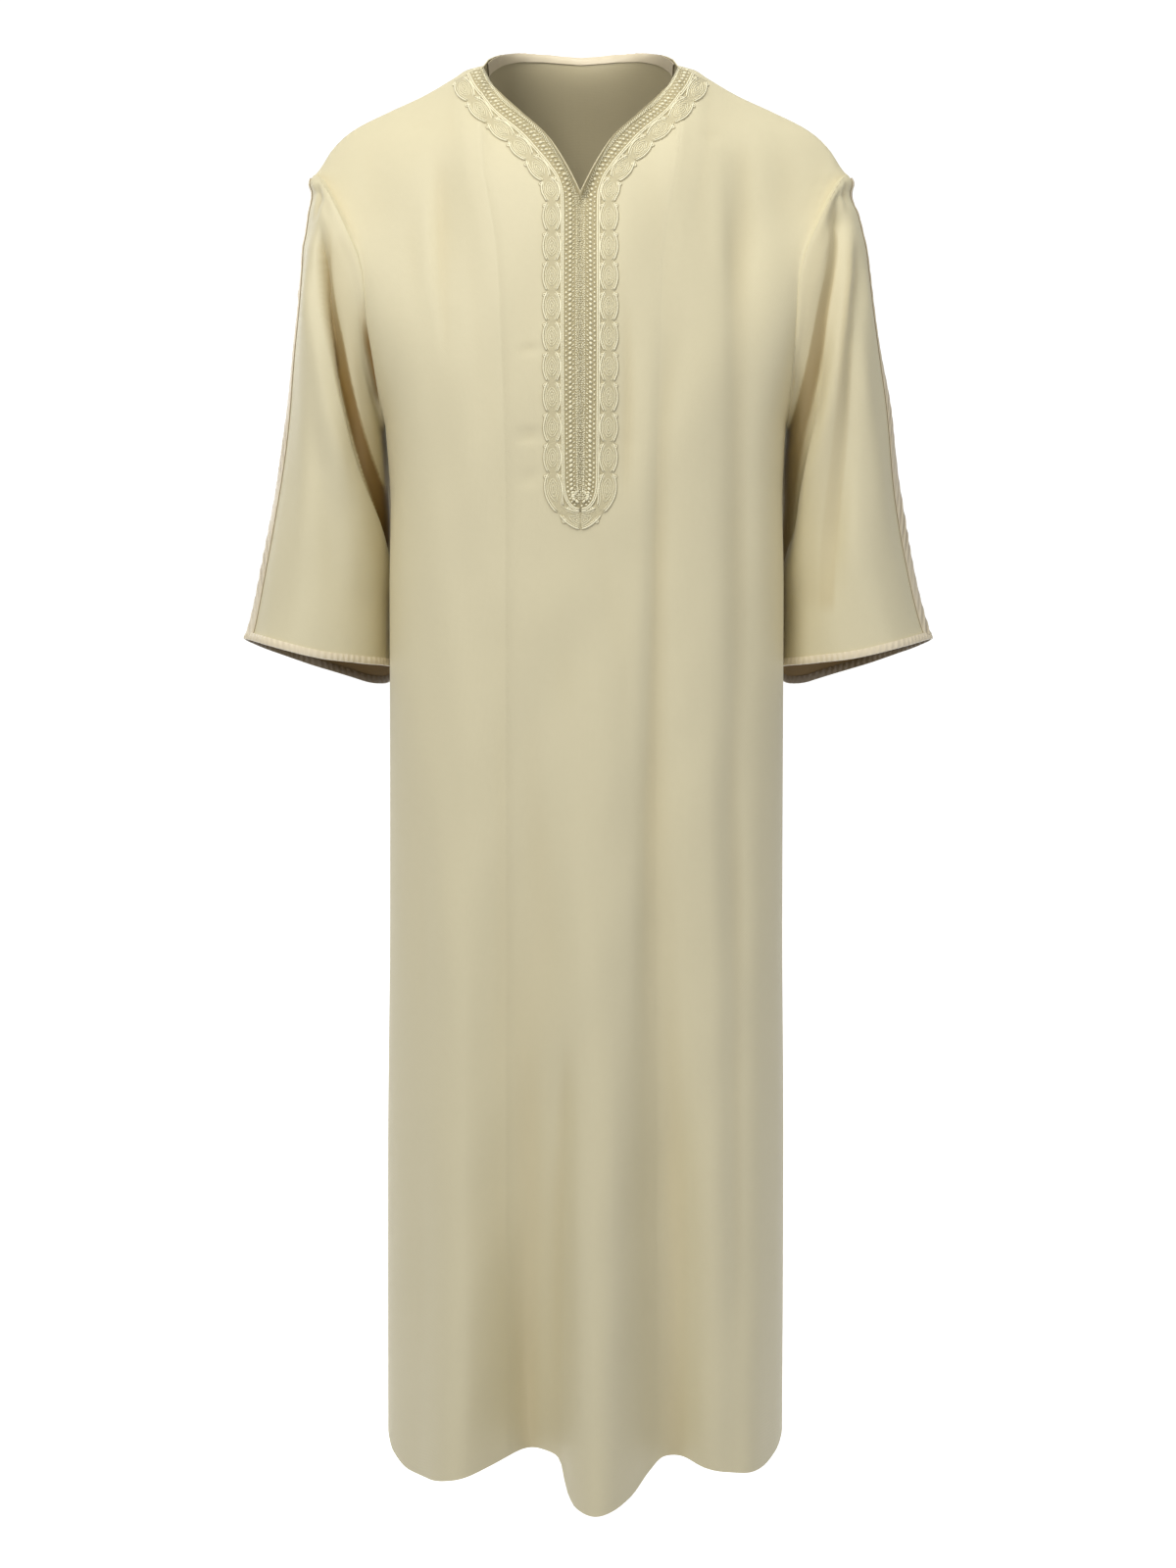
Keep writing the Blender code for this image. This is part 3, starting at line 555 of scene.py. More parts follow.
# %% Shape of the sleeves
# part of the way down, outer across, outer level, inner across, inner level, outer y, inner y, forward, back
SLEEVE = (
    (0.00, 249.0, -98.0, 188.0, -330.0, 0.0, 0.0, 62.0, 62.0),
    (0.05, 259.0, -118.0, 190.5, -337.0, 0.0, 12.0, 69.0, 58.0),
    (0.14, 265.5, -155.0, 188.5, -360.0, 0.0, 22.0, 75.0, 55.0),
    (0.31, 274.5, -230.0, 186.5, -400.0, 2.0, 30.0, 78.0, 53.0),
    (0.48, 284.5, -305.0, 184.5, -440.0, 4.0, 34.0, 77.0, 52.0),
    (0.65, 294.5, -380.0, 183.5, -480.0, 6.0, 36.0, 76.0, 51.0),
    (0.82, 307.0, -454.0, 185.0, -523.0, 8.0, 38.0, 76.0, 50.0),
    (0.97, 321.0, -520.0, 185.0, -566.0, 10.0, 38.0, 77.0, 52.0),
    (1.00, 325.0, -530.0, 185.0, -574.0, 10.0, 38.0, 77.0, 52.0),
)
# level, how much further out the sleeve at -X and the sleeve at +X hang
SLEEVE_OUT = (
    (-98.0, 0.0, 0.0),
    (-150.0, -9.0, -2.0),
    (-300.0, -7.0, 0.0),
    (-430.0, -2.0, 0.0),
    (-570.0, 0.0, 4.0),
)
# level, how much closer in the head of the sleeve at -X and of the sleeve at +X lies
HEAD_IN = (
    (-102.0, 0.0, 0.0),
    (-120.0, -9.0, -8.5),
    (-136.0, -6.5, -4.5),
    (-152.0, -3.5, -2.0),
    (-172.0, 0.0, 0.0),
    (-196.0, 0.0, 0.0),
)
SLEEVE_LENGTHS = 168  # rows of points down a sleeve
CORNER = 0.72  # how much the taped outer line pinches the round of the sleeve to a corner
CORNER_WIDE = 0.7  # how far round it pinches, in radians
CORNER_FROM, CORNER_OVER = 0.1, 0.6  # part of the way down at which that starts, and its growth
EDGE_FADES = 0.42  # part of the way down at which a ring no longer follows the armhole
HEAD_GROWS, OUT_GROWS = 0.04, 0.2  # parts of the way down at which the two tables above count fully
CUFF_FROM, CUFF_OVER = 0.4, 0.6  # part of the way down at which the cuff's rise starts, its growth
# turn round the sleeve in degrees, how far the cuff hangs above its even slope
CUFF_RISE = (
    (0, 0.0), (60, 5.0), (94, 8.0), (126, 14.0), (160, 18.0), (188, 11.0),
    (215, -3.0), (240, -8.0), (275, -8.0), (315, -5.0), (342, -1.5), (360, 0.0),
)

# paths of the two deepest folds: turn in degrees, part of the way down the sleeve
WEARERS_RIGHT_FOLD = (
    (38, 0.05), (51, 0.156), (65, 0.196), (82, 0.223), (100, 0.262),
    (125, 0.328), (151, 0.423), (165, 0.56), (172, 0.72), (176, 0.86),
)
WEARERS_LEFT_FOLD = (
    (30, 0.012), (49, 0.076), (68, 0.118), (84, 0.133), (102, 0.142),
    (133, 0.175), (151, 0.278), (158, 0.42), (166, 0.66),
)
# for the sleeve at -X and the one at +X: height, width before and after the path, run-in, run-out,
# shade inside it, and its path
SLEEVE_CREASES = {
    -1: (
        (-12.0, 2.8, 10.0, 60.0, 150.0, 1.0, WEARERS_RIGHT_FOLD),
        (-5.0, 12.0, 34.0, 60.0, 150.0, 0.0, WEARERS_RIGHT_FOLD),
        (3.2, 16.0, 9.0, 40.0, 70.0, 0.0, ((30, 0.10), (43, 0.214), (60, 0.29), (76, 0.36), (96, 0.43),
                                           (112, 0.55))),
        (-2.4, 12.0, 18.0, 60.0, 80.0, 0.0, ((62, 0.42), (84, 0.56), (98, 0.74), (104, 0.93))),
        (1.8, 5.0, 6.0, 8.0, 26.0, 0.0, ((14, 0.004), (20, 0.05), (24, 0.10))),
        (-1.5, 4.0, 5.0, 6.0, 24.0, 0.0, ((20, 0.004), (27, 0.04), (32, 0.09))),
        (1.6, 5.0, 5.0, 6.0, 22.0, 0.0, ((27, 0.004), (34, 0.04), (39, 0.075))),
        (-7.0, 22.0, 26.0, 60.0, 70.0, 0.2, ((236, 0.15), (246, 0.40), (258, 0.86))),
        (-3.0, 12.0, 16.0, 40.0, 70.0, 0.0, ((318, 0.10), (300, 0.24), (276, 0.42), (262, 0.62))),
        (2.4, 12.0, 14.0, 40.0, 60.0, 0.0, ((332, 0.08), (316, 0.26), (296, 0.46), (284, 0.72))),
    ),
    1: (
        (-8.0, 9.0, 11.0, 34.0, 70.0, 0.76, WEARERS_LEFT_FOLD),
        (-4.5, 18.0, 22.0, 34.0, 70.0, 0.0, WEARERS_LEFT_FOLD),
        (-6.0, 10.0, 12.0, 44.0, 90.0, 0.38, ((25, 0.10), (35, 0.196), (51, 0.231), (72, 0.328), (92, 0.511),
                                              (104, 0.70), (110, 0.88))),
        (2.8, 12.0, 10.0, 40.0, 60.0, 0.0, ((34, 0.07), (50, 0.155), (68, 0.21), (92, 0.27), (116, 0.36),
                                            (130, 0.50))),
        (-1.8, 3.6, 4.5, 4.0, 20.0, 0.0, ((27, 0.004), (35, 0.03), (41, 0.07))),
        (-1.5, 3.6, 4.5, 4.0, 20.0, 0.0, ((15, 0.004), (20, 0.03), (24, 0.08))),
        (1.4, 4.5, 4.0, 4.0, 20.0, 0.0, ((21, 0.004), (28, 0.03), (33, 0.07))),
        (-7.0, 24.0, 22.0, 60.0, 60.0, 0.2, ((232, 0.20), (250, 0.50), (264, 0.90))),
        (-3.2, 14.0, 12.0, 40.0, 70.0, 0.0, ((322, 0.06), (306, 0.20), (284, 0.34), (266, 0.50))),
        (2.2, 12.0, 12.0, 40.0, 60.0, 0.0, ((336, 0.12), (320, 0.30), (302, 0.52), (290, 0.80))),
    ),
}
PATH_STEPS = 12  # points of a path for each of its places
SHADE_GROWS, SHADE_ENDS = 45.0, 20.0  # distances over which a fold's shade starts and dies out
SHADE_START = 0.45  # share of it that stands at the very start of the fold
SHADE_BEFORE, SHADE_REACH = 5.0, 6  # how far it reaches ahead of the path, and behind it in widths
EDGE_SINK = 0.55  # share of a fold's depth at which its edge is seen from in front
STRIP, STRIP_FADES = 1.3, 0.5  # width of the dark strip behind that edge, in widths of the fold
GLOW, GLOW_WIDE = 0.5, 2.6  # strength and width of the fainter shade around the strip


def sleeve_base(turn, part, side, edge):
    """Sleeve points at a turn round it and a part of the way down, starting on the armhole's points."""
    def ring(read, round_corner=1.0):
        fore = np.sin(turn)
        lean = (1 - np.cos(turn)) / 2
        x = read(1) + (read(3) - read(1)) * lean
        z = read(2) + (read(4) - read(2)) * lean
        reach = np.where(fore > 0, read(7), read(8))
        y = read(5) + (read(6) - read(5)) * lean - reach * fore * round_corner
        return np.stack([x, y, z], axis=-1)

    start = ring(lambda column: SLEEVE[0][column] + 0 * part)
    off = (turn + np.pi) % (2 * np.pi) - np.pi
    corner = 1 - CORNER * ease((part - CORNER_FROM) / CORNER_OVER) * np.exp(-((off / CORNER_WIDE) ** 2))
    points = ring(lambda column: curve(SLEEVE, column, part), corner)
    fade = np.clip(1 - part / EDGE_FADES, 0.0, 1.0)[..., None] ** 2.5
    points = points + (edge - start) * fade
    out = curve(SLEEVE_OUT, TABLE_SIDE[side], points[..., 2])
    outer = (1 + np.cos(turn)) / 2
    points[..., 0] += out * ease(part / OUT_GROWS) * outer
    head = curve(HEAD_IN, TABLE_SIDE[side], points[..., 2])
    points[..., 0] += head * ease(part / HEAD_GROWS) * outer
    points[..., 0] *= side
    points[..., 2] += curve(CUFF_RISE, 1, np.degrees(turn)) * ease((part - CUFF_FROM) / CUFF_OVER)
    return settle(points)


def armhole_edge(side):
    """Points round an armhole, from the shoulder down the front and up the back, before the sway."""
    column = -1 if side > 0 else 0
    fore = panels[-1][0][: ARMHOLE_ROWS + 1, column]
    aft = panels[1][0][ARMHOLE_ROWS - 1 : 0 : -1, column]
    loop = np.concatenate([fore, aft])
    loop[0, 1] = 0.0
    loop[:, 0] = (loop[:, 0] - curve(SWAY, 1, loop[:, 2])) * side
    return loop


def sleeve_parts():
    """Rows down a sleeve, closer together at the armhole and above the cuff."""
    even = np.linspace(0.0, 1.0, SLEEVE_LENGTHS + 1)
    return even - 0.045 * np.sin(2 * np.pi * even)


def on_ring(grid, degrees, part):
    """A place on a sleeve's grid, between its points."""
    columns = grid.shape[1]
    u = (np.asarray(degrees, float) / 360.0 * columns) % columns
    v = np.interp(part, sleeve_parts(), np.arange(grid.shape[0]))
    i, j = np.minimum(v.astype(int), grid.shape[0] - 2), u.astype(int) % columns
    s, t = (v - i)[..., None], (u - u.astype(int))[..., None]
    k = (j + 1) % columns
    return lerp(lerp(grid[i, j], grid[i, k], t), lerp(grid[i + 1, j], grid[i + 1, k], t), s)


def path_relief(grid, normal, side):
    """Height of all the creases drawn on a sleeve by each point's distance from their paths, and for
    those that hold shade, its strength and where their edges stand."""
    out, shades = np.zeros(grid.shape[:2]), []
    for height, before, after, run_in, run_out, dark, path in SLEEVE_CREASES[side]:
        path = np.array(path, float)
        step = np.linspace(0.0, len(path) - 1.0, PATH_STEPS * len(path))
        table = np.column_stack([np.arange(len(path)), path])
        line = on_ring(grid, curve(table, 1, step), curve(table, 2, step))
        way = distances(line)
        tangent = unit(np.gradient(line, axis=0))
        away = grid[:, :, None] - line[None, None]
        near = np.linalg.norm(away, axis=-1).argmin(axis=-1)
        away = grid - line[near]
        ahead = (away * tangent[near]).sum(axis=-1)
        lateral = away - ahead[..., None] * tangent[near]
        distance = np.linalg.norm(lateral, axis=-1)
        inner_side = (np.cross(normal, tangent[near]) * lateral).sum(axis=-1) > 0
        at = way[near] + ahead
        wide = np.where(inner_side, after, before)
        grow = ease(at / run_in) * ease((way[-1] - at) / run_out)
        out += height * grow * np.exp(-((distance / wide) ** 2))
        if dark:
            strength = dark * ease(at / SHADE_GROWS) * ease((way[-1] - at) / SHADE_ENDS)
            strength = strength * ease(SHADE_START + at / way[-1])
            onward = np.where(inner_side == (side < 0), distance, -distance)
            strength = strength * ease((onward + SHADE_BEFORE) / SHADE_BEFORE)
            strength = strength * ease((SHADE_REACH * after - onward) / after)
            facing = unit(on_ring(normal, curve(table, 1, step), curve(table, 2, step)))
            edge = (line + facing * height * EDGE_SINK)[..., 0]
            shades.append((strength, edge[near], before, after))
    return out, shades


def fold_shade(grid, side, shades):
    """Shade just behind the edge of each deep fold, as it is seen from in front."""
    total = np.zeros(grid.shape[:2])
    for strength, edge, before, after in shades:
        behind = (edge - grid[..., 0]) * side
        rise = ease((behind + before + 1.0) / (before + 1.0))
        strip = ease((STRIP * after - behind) / (STRIP_FADES * after))
        glow = GLOW * np.exp(-((behind / (GLOW_WIDE * after)) ** 2))
        total = np.maximum(total, strength * rise * np.maximum(strip, glow))
    return total


# levels between which the front of a sleeve tucks in beside the armhole seam, and how deep
TUCK = {-1: (-206.0, -332.0, 5.0), 1: (-252.0, -318.0, 3.0)}
TUCK_MIDDLE, TUCK_WIDE = 3, 8  # how far down the sleeve it lies, and how far it spreads
UNDER_TURN, UNDER_WIDE = 172, 26  # turn in degrees of the shaded underside, and its spread
UNDER_SHADE = 0.4


def sleeve_grid(side):
    """Outer face of a sleeve, creased, and raised beside the armhole seam."""
    turn = np.arange(2 * ARMHOLE_ROWS) * np.pi / ARMHOLE_ROWS
    turns, parts = np.meshgrid(turn, sleeve_parts())
    base = sleeve_base(turns, parts, side, armhole_edge(side)[None])
    normal = grid_normals(base, ring=True) * side
    creases, shades = path_relief(base, normal, side)
    creases = creases * ease(parts / 0.03)
    down, round_way = lengths(base, 0), lengths(base, 1)
    high, low, sink = TUCK[side]
    level = base[..., 2]
    near = np.exp(-(((down - TUCK_MIDDLE) / TUCK_WIDE) ** 2))
    tuck = near * ease((high - level) / 60) * ease((level - low) / 30) * (turns < np.pi)
    creases = creases - sink * tuck
    under = np.exp(-(((np.degrees(turns) - UNDER_TURN) / UNDER_WIDE) ** 2)) * ease((parts - 0.02) / 0.1)
    slack = slack_height(round_way * side + 40.0, base[..., 2]) * ease(parts / 0.2)
    whole = creases + seam_relief(down, round_way) + slack
    creased = base + normal * whole[..., None]
    # painted shade: a dark strip behind the edge of each deep fold as seen from in front, the tuck beside the
    # armhole seam and the sleeve's underside
    folds = fold_shade(creased, side, shades) * (turns < np.pi * 0.95)
    return creased, np.maximum.reduce([folds, tuck * sink / 5, UNDER_SHADE * under])


sleeves, sleeve_shade = {}, {}
for side in (-1, 1):
    sleeves[side], sleeve_shade[side] = sleeve_grid(side)
print("sleeve points", sleeves[1].shape[:2])

# %% [markdown]
# ## From a grid to cloth
#
# A single sheet of faces has no edge to catch the light, and at the hem and neck the edge is what one
# sees. A Solidify modifier could thicken the sheet, but making both faces here keeps each grid point
# in hand. The mesh also carries what the finish needs later: the weave's own coordinates, measured
# along the cloth so that the threads follow the cut, and the painted shade of each point, taken from
# how deep in a crease it lies and, on the sleeves, from their painted fold shade and their insides.

# %% From a grid of points to a shell
HOLLOW_REACH = 9.0  # how far to either side a crease is felt
HOLLOW_DEEP = 7.0  # depth over that reach that counts as the bottom of a deep crease
HOLLOW_MOST = 0.42  # an open crease takes no more shade than this
HOLLOW_ROUNDS = 4  # how often the depths are evened out down the cloth
INNER_CREASE = 0.3  # share of a crease's shade that its inner face takes
SLEEVE_DARK = 0.96  # shade inside a sleeve, where little light comes
SHARP = 40.0  # angle in degrees over which an edge isn't smoothed


def cells(rows, columns, ring=False):
    """Corner numbers of the cells of a grid, one row for each cell."""
    i = np.arange(rows - 1)[:, None]
    j = np.arange(columns if ring else columns - 1)[None]
    right = (j + 1) % columns
    top, below = i * columns, (i + 1) * columns
    return np.stack([top + j, top + right, below + right, below + j], axis=-1).reshape(-1, 4)


def hollow(grid, normal, ring=False):
    """How deep in a crease each point lies, from 0 on open cloth to 1, by the bend across the rows."""
    count = grid.shape[1]
    whole = np.concatenate([grid, grid, grid], axis=1) if ring else grid
    way = lengths(whole, 1)
    keep = slice(count, 2 * count) if ring else slice(None)
    here = way[:, keep]
    ends = [
        np.stack([on_line(at + reach, row_way, row) for at, row_way, row in zip(here, way, whole)])
        for reach in (-HOLLOW_REACH, HOLLOW_REACH)
    ]
    depth = (((ends[0] + ends[1]) / 2 - grid) * normal).sum(axis=-1)
    inside = np.minimum(here - way[:, :1], way[:, -1:] - here) > HOLLOW_REACH
    depth = np.clip(depth / HOLLOW_DEEP, 0.0, HOLLOW_MOST) * inside
    for _ in range(HOLLOW_ROUNDS):
        depth[1:-1] = (depth[:-2] + 2 * depth[1:-1] + depth[2:]) / 4
    return depth


def placed(name, data):
    """A new object in the scene."""
    made = bpy.data.objects.new(name, data)
    bpy.context.scene.collection.objects.link(made)
    return made


def make_mesh(name, points, faces, sharp=SHARP):
    """A smooth mesh object from points in millimetres, with its narrow edges kept sharp."""
    mesh = bpy.data.meshes.new(name)
    mesh.from_pydata((points.reshape(-1, 3) * MM).tolist(), [], list(faces))
    mesh.update()
    mesh.polygons.foreach_set("use_smooth", [True] * len(mesh.polygons))
    mesh.set_sharp_from_angle(angle=math.radians(sharp))
    return placed(name, mesh)


def shell(name, outer, normal, thickness=CLOTH, ring=False, shade=0.0, inner_shade=0.0):
    """A closed thin wall whose outer face is a grid, with its weave coordinates and painted shade.

    A ring is closed round its columns. The shades are the least painted shade that the outer and the inner
    face take."""
    rows, columns = outer.shape[:2]
    count = rows * columns
    face = cells(rows, columns, ring)
    rim = []
    last = (rows - 1) * columns
    j = np.arange(columns if ring else columns - 1)
    k = (j + 1) % columns
    rim.append(np.stack([k, j, j + count, k + count], axis=-1))
    rim.append(np.stack([last + j, last + k, last + k + count, last + j + count], axis=-1))
    if not ring:
        i = np.arange(rows - 1) * columns
        rim.append(np.stack([i, i + columns, i + columns + count, i + count], axis=-1))
        i = i + columns - 1
        rim.append(np.stack([i + columns, i, i + count, i + columns + count], axis=-1))
    faces = np.concatenate([face, face[:, ::-1] + count, *rim])
    inner = outer - normal * thickness
    points = np.concatenate([outer.reshape(-1, 3), inner.reshape(-1, 3)])
    a, b, c = (points[faces[: len(face), k]] for k in (0, 1, 2))
    facing = (np.cross(b - a, c - a) * normal.reshape(-1, 3)[faces[: len(face), 0]]).sum()
    if facing < 0:
        faces = faces[:, ::-1]
    piece = make_mesh(name, points, faces.tolist())
    # painted shade: the finish warms and darkens each point by how deep in a crease it lies, or by the shade
    # given, whichever is more
    depth = np.maximum(hollow(outer, normal, ring), shade).ravel()
    store(piece, "painted_shade", np.concatenate([depth, np.maximum(depth * INNER_CREASE, inner_shade)]))
    store(piece, "inside", np.repeat([0.0, 1.0], count))
    across, down = lengths(outer, 1), lengths(outer, 0)
    middle = 0 if ring else columns // 2
    across = across - across[:, middle : middle + 1]
    cut = np.stack([across.ravel(), down.ravel()], axis=-1)
    corners = cut[faces % count]
    if ring:
        girth = across[:, -1] + np.linalg.norm(outer[:, 0] - outer[:, -1], axis=-1)
        wraps = (faces % columns == 0) & ((faces % columns == columns - 1).any(axis=1))[:, None]
        corners[..., 0] += np.where(wraps, girth[(faces % count) // columns], 0.0)
    store_cut(piece, corners * MM)
    return piece


def store_cut(piece, corners):
    """Keeps where each corner of a mesh lies on the flat piece, across and down, in metres."""
    layer = piece.data.uv_layers.new(name="cut")
    layer.data.foreach_set("uv", corners.reshape(-1).astype(np.float32))


def store(piece, name, values):
    """Keeps one number for each point of a mesh, which its finish can read."""
    attribute = piece.data.attributes.new(name, "FLOAT", "POINT")
    attribute.data.foreach_set("value", np.asarray(values, np.float32))


# %% Cloth of the body and sleeves
panel_cloth, sleeve_cloth = {}, {}
for side, name in ((-1, "front_cloth"), (1, "back_cloth")):
    normal = grid_normals(raised[side]) * side
    panel_cloth[side] = shell(name, raised[side], normal)
for side, name in ((-1, "sleeve_cloth_right"), (1, "sleeve_cloth_left")):
    normal = grid_normals(sleeves[side], ring=True) * side
    # painted shade on the sleeve's outer face, and darker painted shade all over its inside
    dark = sleeve_shade[side], SLEEVE_DARK
    sleeve_cloth[side] = shell(name, sleeves[side], normal, CLOTH, True, *dark)
cloth_pieces = (*panel_cloth.values(), *sleeve_cloth.values())
for piece in cloth_pieces:
    print(piece.name, len(piece.data.polygons), "faces")

# %% [markdown]
# ## Satin on the sleeves and neck
#
# A strip of satin runs down the outer line of each sleeve, a folded satin binding closes each cuff, and
# a satin band faces the back of the neck. Satin cut on the grain and stitched to softer crepe always
# draws up a little, so its surface runs in short slanting puckers between the stitch lines. They are
# modelled, because on satin each pucker has its own bright line of light.

# %% Sleeve tape
SATIN = 0.9  # thickness of the satin strips
TAPE_OFF = 0.12  # clear of the cloth under it
TAPE_WIDTH = 24.0
TAPE_COLUMNS = 15
TAPE_ROWS = 300
TAPE_PUCKER = 1.15  # height of a pucker
TAPE_PITCH = 15.0  # from one pucker to the next
TAPE_SLANT = 1.5  # how far a pucker runs down for each millimetre across
TAPE_ROUND = 0.5  # how far the tape's middle stands above its edges
TAPE_TOP = 0.008  # part of the way down the sleeve at which it starts
STITCH_IN = 1.6  # from an edge of the tape to its stitch line
STITCH_DEEP = 0.35
BINDING = 6.5  # how far the cuff binding reaches up the sleeve
# part of the way down, distance of the tape's front edge ahead of the outer line at -X and at +X
TAPE_FRONT = ((0.0, 9.0, 9.0), (0.2, 13.0, 13.0), (0.4, 18.0, 21.0), (0.8, 18.0, 20.5), (1.0, 20.0, 21.0))


def turns_ahead(grid, part, ahead):
    """Turns round a sleeve of places a distance ahead of its outer line, along the cloth."""
    reach = grid.shape[1] // 4
    index = np.arange(-reach, reach + 1)
    turns = []
    for at, wanted in zip(np.interp(part, sleeve_parts(), np.arange(len(grid))), ahead):
        above = min(int(at), len(grid) - 2)
        ring = lerp(grid[above], grid[above + 1], at - above)[index % grid.shape[1]]
        way = distances(ring)
        turns.append(np.interp(wanted, way - way[reach], index))
    return np.array(turns) * 360.0 / grid.shape[1]


def tape_grid(side):
    """Outer face of the tape down the outer line of a sleeve, ending above the binding."""
    grid = sleeves[side]
    normal = grid_normals(grid, ring=True) * side
    long = lengths(grid, 0)[-1, 0]
    part = np.linspace(TAPE_TOP, 1 - (BINDING - 1.5) / long, TAPE_ROWS)[:, None]
    share = np.linspace(0.0, 1.0, TAPE_COLUMNS)[None]
    ahead = curve(TAPE_FRONT, TABLE_SIDE[side], part) - TAPE_WIDTH * share
    degrees = turns_ahead(grid, part[:, 0], ahead)
    parts = part + 0 * share
    face, out = on_ring(grid, degrees, parts), unit(on_ring(normal, degrees, parts))
    down, across = part * long, share * TAPE_WIDTH
    stitch = np.minimum(across, TAPE_WIDTH - across) / STITCH_IN
    held = np.exp(-(((stitch - 1) / 0.5) ** 2))
    # the sines let the spacing and the strength of the puckers wander
    slant = down + TAPE_SLANT * across + 2.2 * np.sin(down / 31.0) + 1.2 * np.sin(down / 9.7 + 2.0)
    wave = (0.5 + 0.5 * np.sin(2 * np.pi * slant / TAPE_PITCH)) ** 2
    middle = np.sin(np.pi * share) ** 0.6
    strength = 0.65 + 0.35 * np.sin(down / 17.0 + side)
    swell = TAPE_PUCKER * wave * middle * strength + TAPE_ROUND * np.sin(np.pi * share)
    swell = swell - STITCH_DEEP * held
    # painted shade: darker between the puckers
    low = np.clip(0.9 - 2.0 * wave, 0.0, 1.0) * middle * strength
    return face + out * (TAPE_OFF + SATIN + swell)[..., None], out, low


tapes = {}
for side, word in ((-1, "right"), (1, "left")):
    face, out, low = tape_grid(side)
    tapes[side] = shell("tape_satin_" + word, face, out, SATIN, shade=low)
    print(tapes[side].name, face.shape[:2])

# %% [markdown]
# A binding is a bias strip folded over the raw edge, so its section is a narrow U. It is drawn as one
# closed profile and carried round the cuff, with a pucker each few millimetres where the bias
# stretches over the turn.

# %% Cuff bindings
BINDING_COLUMNS = 720
BINDING_PITCH = 6.4  # from one pucker to the next
BINDING_PUCKER = 0.34  # height of a pucker
BINDING_OFF = 0.15
BINDING_WALL = 0.9
BINDING_INNER = 7  # row of the profile from which the binding lies inside the sleeve


def resampled(loop, count):
    """A closed loop of points with even steps."""
    closed = np.concatenate([loop, loop[:1]])
    way = distances(closed)
    at = np.linspace(0.0, way[-1], count + 1)[:-1]
    return on_line(at, way, closed), at


def binding_profile(side):
    """Profile of the binding, outside first, at each place round the cuff."""
    grid = sleeves[side]
    normal = grid_normals(grid, ring=True) * side
    hem, way = resampled(grid[-1], BINDING_COLUMNS)
    above, _ = resampled(grid[-2], BINDING_COLUMNS)
    edge = np.concatenate([grid[-1], grid[-1, :1]])
    facing = np.concatenate([normal[-1], normal[-1, :1]])
    out = unit(on_line(way, distances(edge), facing))
    up = unit(above - hem)
    # the sines let the spacing of the puckers wander
    pull = 2 * np.pi * way / BINDING_PITCH + 1.3 * np.sin(way / 19.0) + 0.8 * np.sin(way / 7.3)
    rows = []
    # height up the sleeve, distance outwards from its face, slant of the pucker, share of it
    section = (
        (BINDING, BINDING_OFF, 1.9, 0.0),
        (BINDING, BINDING_OFF + BINDING_WALL, 1.9, 0.2),
        (BINDING * 0.8, BINDING_OFF + BINDING_WALL + 0.25, 1.5, 0.8),
        (BINDING * 0.5, BINDING_OFF + BINDING_WALL + 0.35, 1.0, 1.0),
        (BINDING * 0.2, BINDING_OFF + BINDING_WALL + 0.25, 0.4, 1.0),
        (-0.5, BINDING_OFF + 0.55, 0.0, 0.6),
        (-0.9, -CLOTH / 2, 0.0, 0.3),
        (-0.5, -CLOTH - BINDING_OFF - 0.55, 0.0, 0.6),
        (BINDING * 0.3, -CLOTH - BINDING_OFF - BINDING_WALL, -0.6, 0.8),
        (BINDING * 0.7, -CLOTH - BINDING_OFF - BINDING_WALL, -1.2, 0.6),
        (BINDING, -CLOTH - BINDING_OFF - BINDING_WALL * 0.8, -1.9, 0.0),
        (BINDING, -CLOTH - BINDING_OFF, -1.9, 0.0),
        (0.3, -CLOTH - BINDING_OFF, 0.0, 0.0),
        (0.3, BINDING_OFF, 0.0, 0.0),
    )
    for rise, away, slant, share in section:
        pucker = BINDING_PUCKER * share * np.sin(pull + slant) * np.sign(away + CLOTH / 2)
        rows.append(hem + up * rise + out * (away + pucker)[:, None])
    return np.stack(rows), way


def loop_piece(name, profile, way):
    """A closed profile carried all the way round: rows go round the profile, columns round the loop."""
    rows, columns = profile.shape[:2]
    i, j = np.arange(rows)[:, None], np.arange(columns)[None]
    below, right = (i + 1) % rows, (j + 1) % columns
    corners = i * columns + j, i * columns + right, below * columns + right, below * columns + j
    faces = np.stack(corners, axis=-1).reshape(-1, 4)
    points = profile.reshape(-1, 3)
    a, b, c = (points[faces[:, k]] for k in range(3))
    if np.einsum("ij,ij->i", a, np.cross(b, c)).sum() < 0:
        faces = faces[:, ::-1]
    piece = make_mesh(name, points, faces.tolist())
    inner = np.arange(len(points)) // columns
    # painted shade: the part inside the sleeve takes the satin's dark inside colour
    store(piece, "inside", (inner >= BINDING_INNER) & (inner < rows - 1))
    corners = np.stack([way[faces % columns], np.array(faces // columns, float)], axis=-1)
    wraps = (faces % columns == 0) & (faces % columns == columns - 1).any(axis=1)[:, None]
    corners[..., 0] += np.where(wraps, way[-1] + way[1], 0.0)
    store_cut(piece, corners * MM)
    return piece


bindings, binding_ways = {}, {}
for side, word in ((-1, "right"), (1, "left")):
    profile, way = binding_profile(side)
    bindings[side] = loop_piece("binding_satin_" + word, profile, way)
    binding_ways[side] = way[-1] + way[1]
print("binding faces", len(bindings[1].data.polygons))

# %% Satin band inside the back of the neck
BAND = 7.5  # width of the band's face
BAND_TURNED = 2.5  # what its cut has besides, turned under at the neckline
BAND_HALF = 88.0  # half its length, measured straight across
BAND_OFF = 0.15  # clear of the cloth under it
BAND_ROWS = 9
BAND_COLUMNS = 150


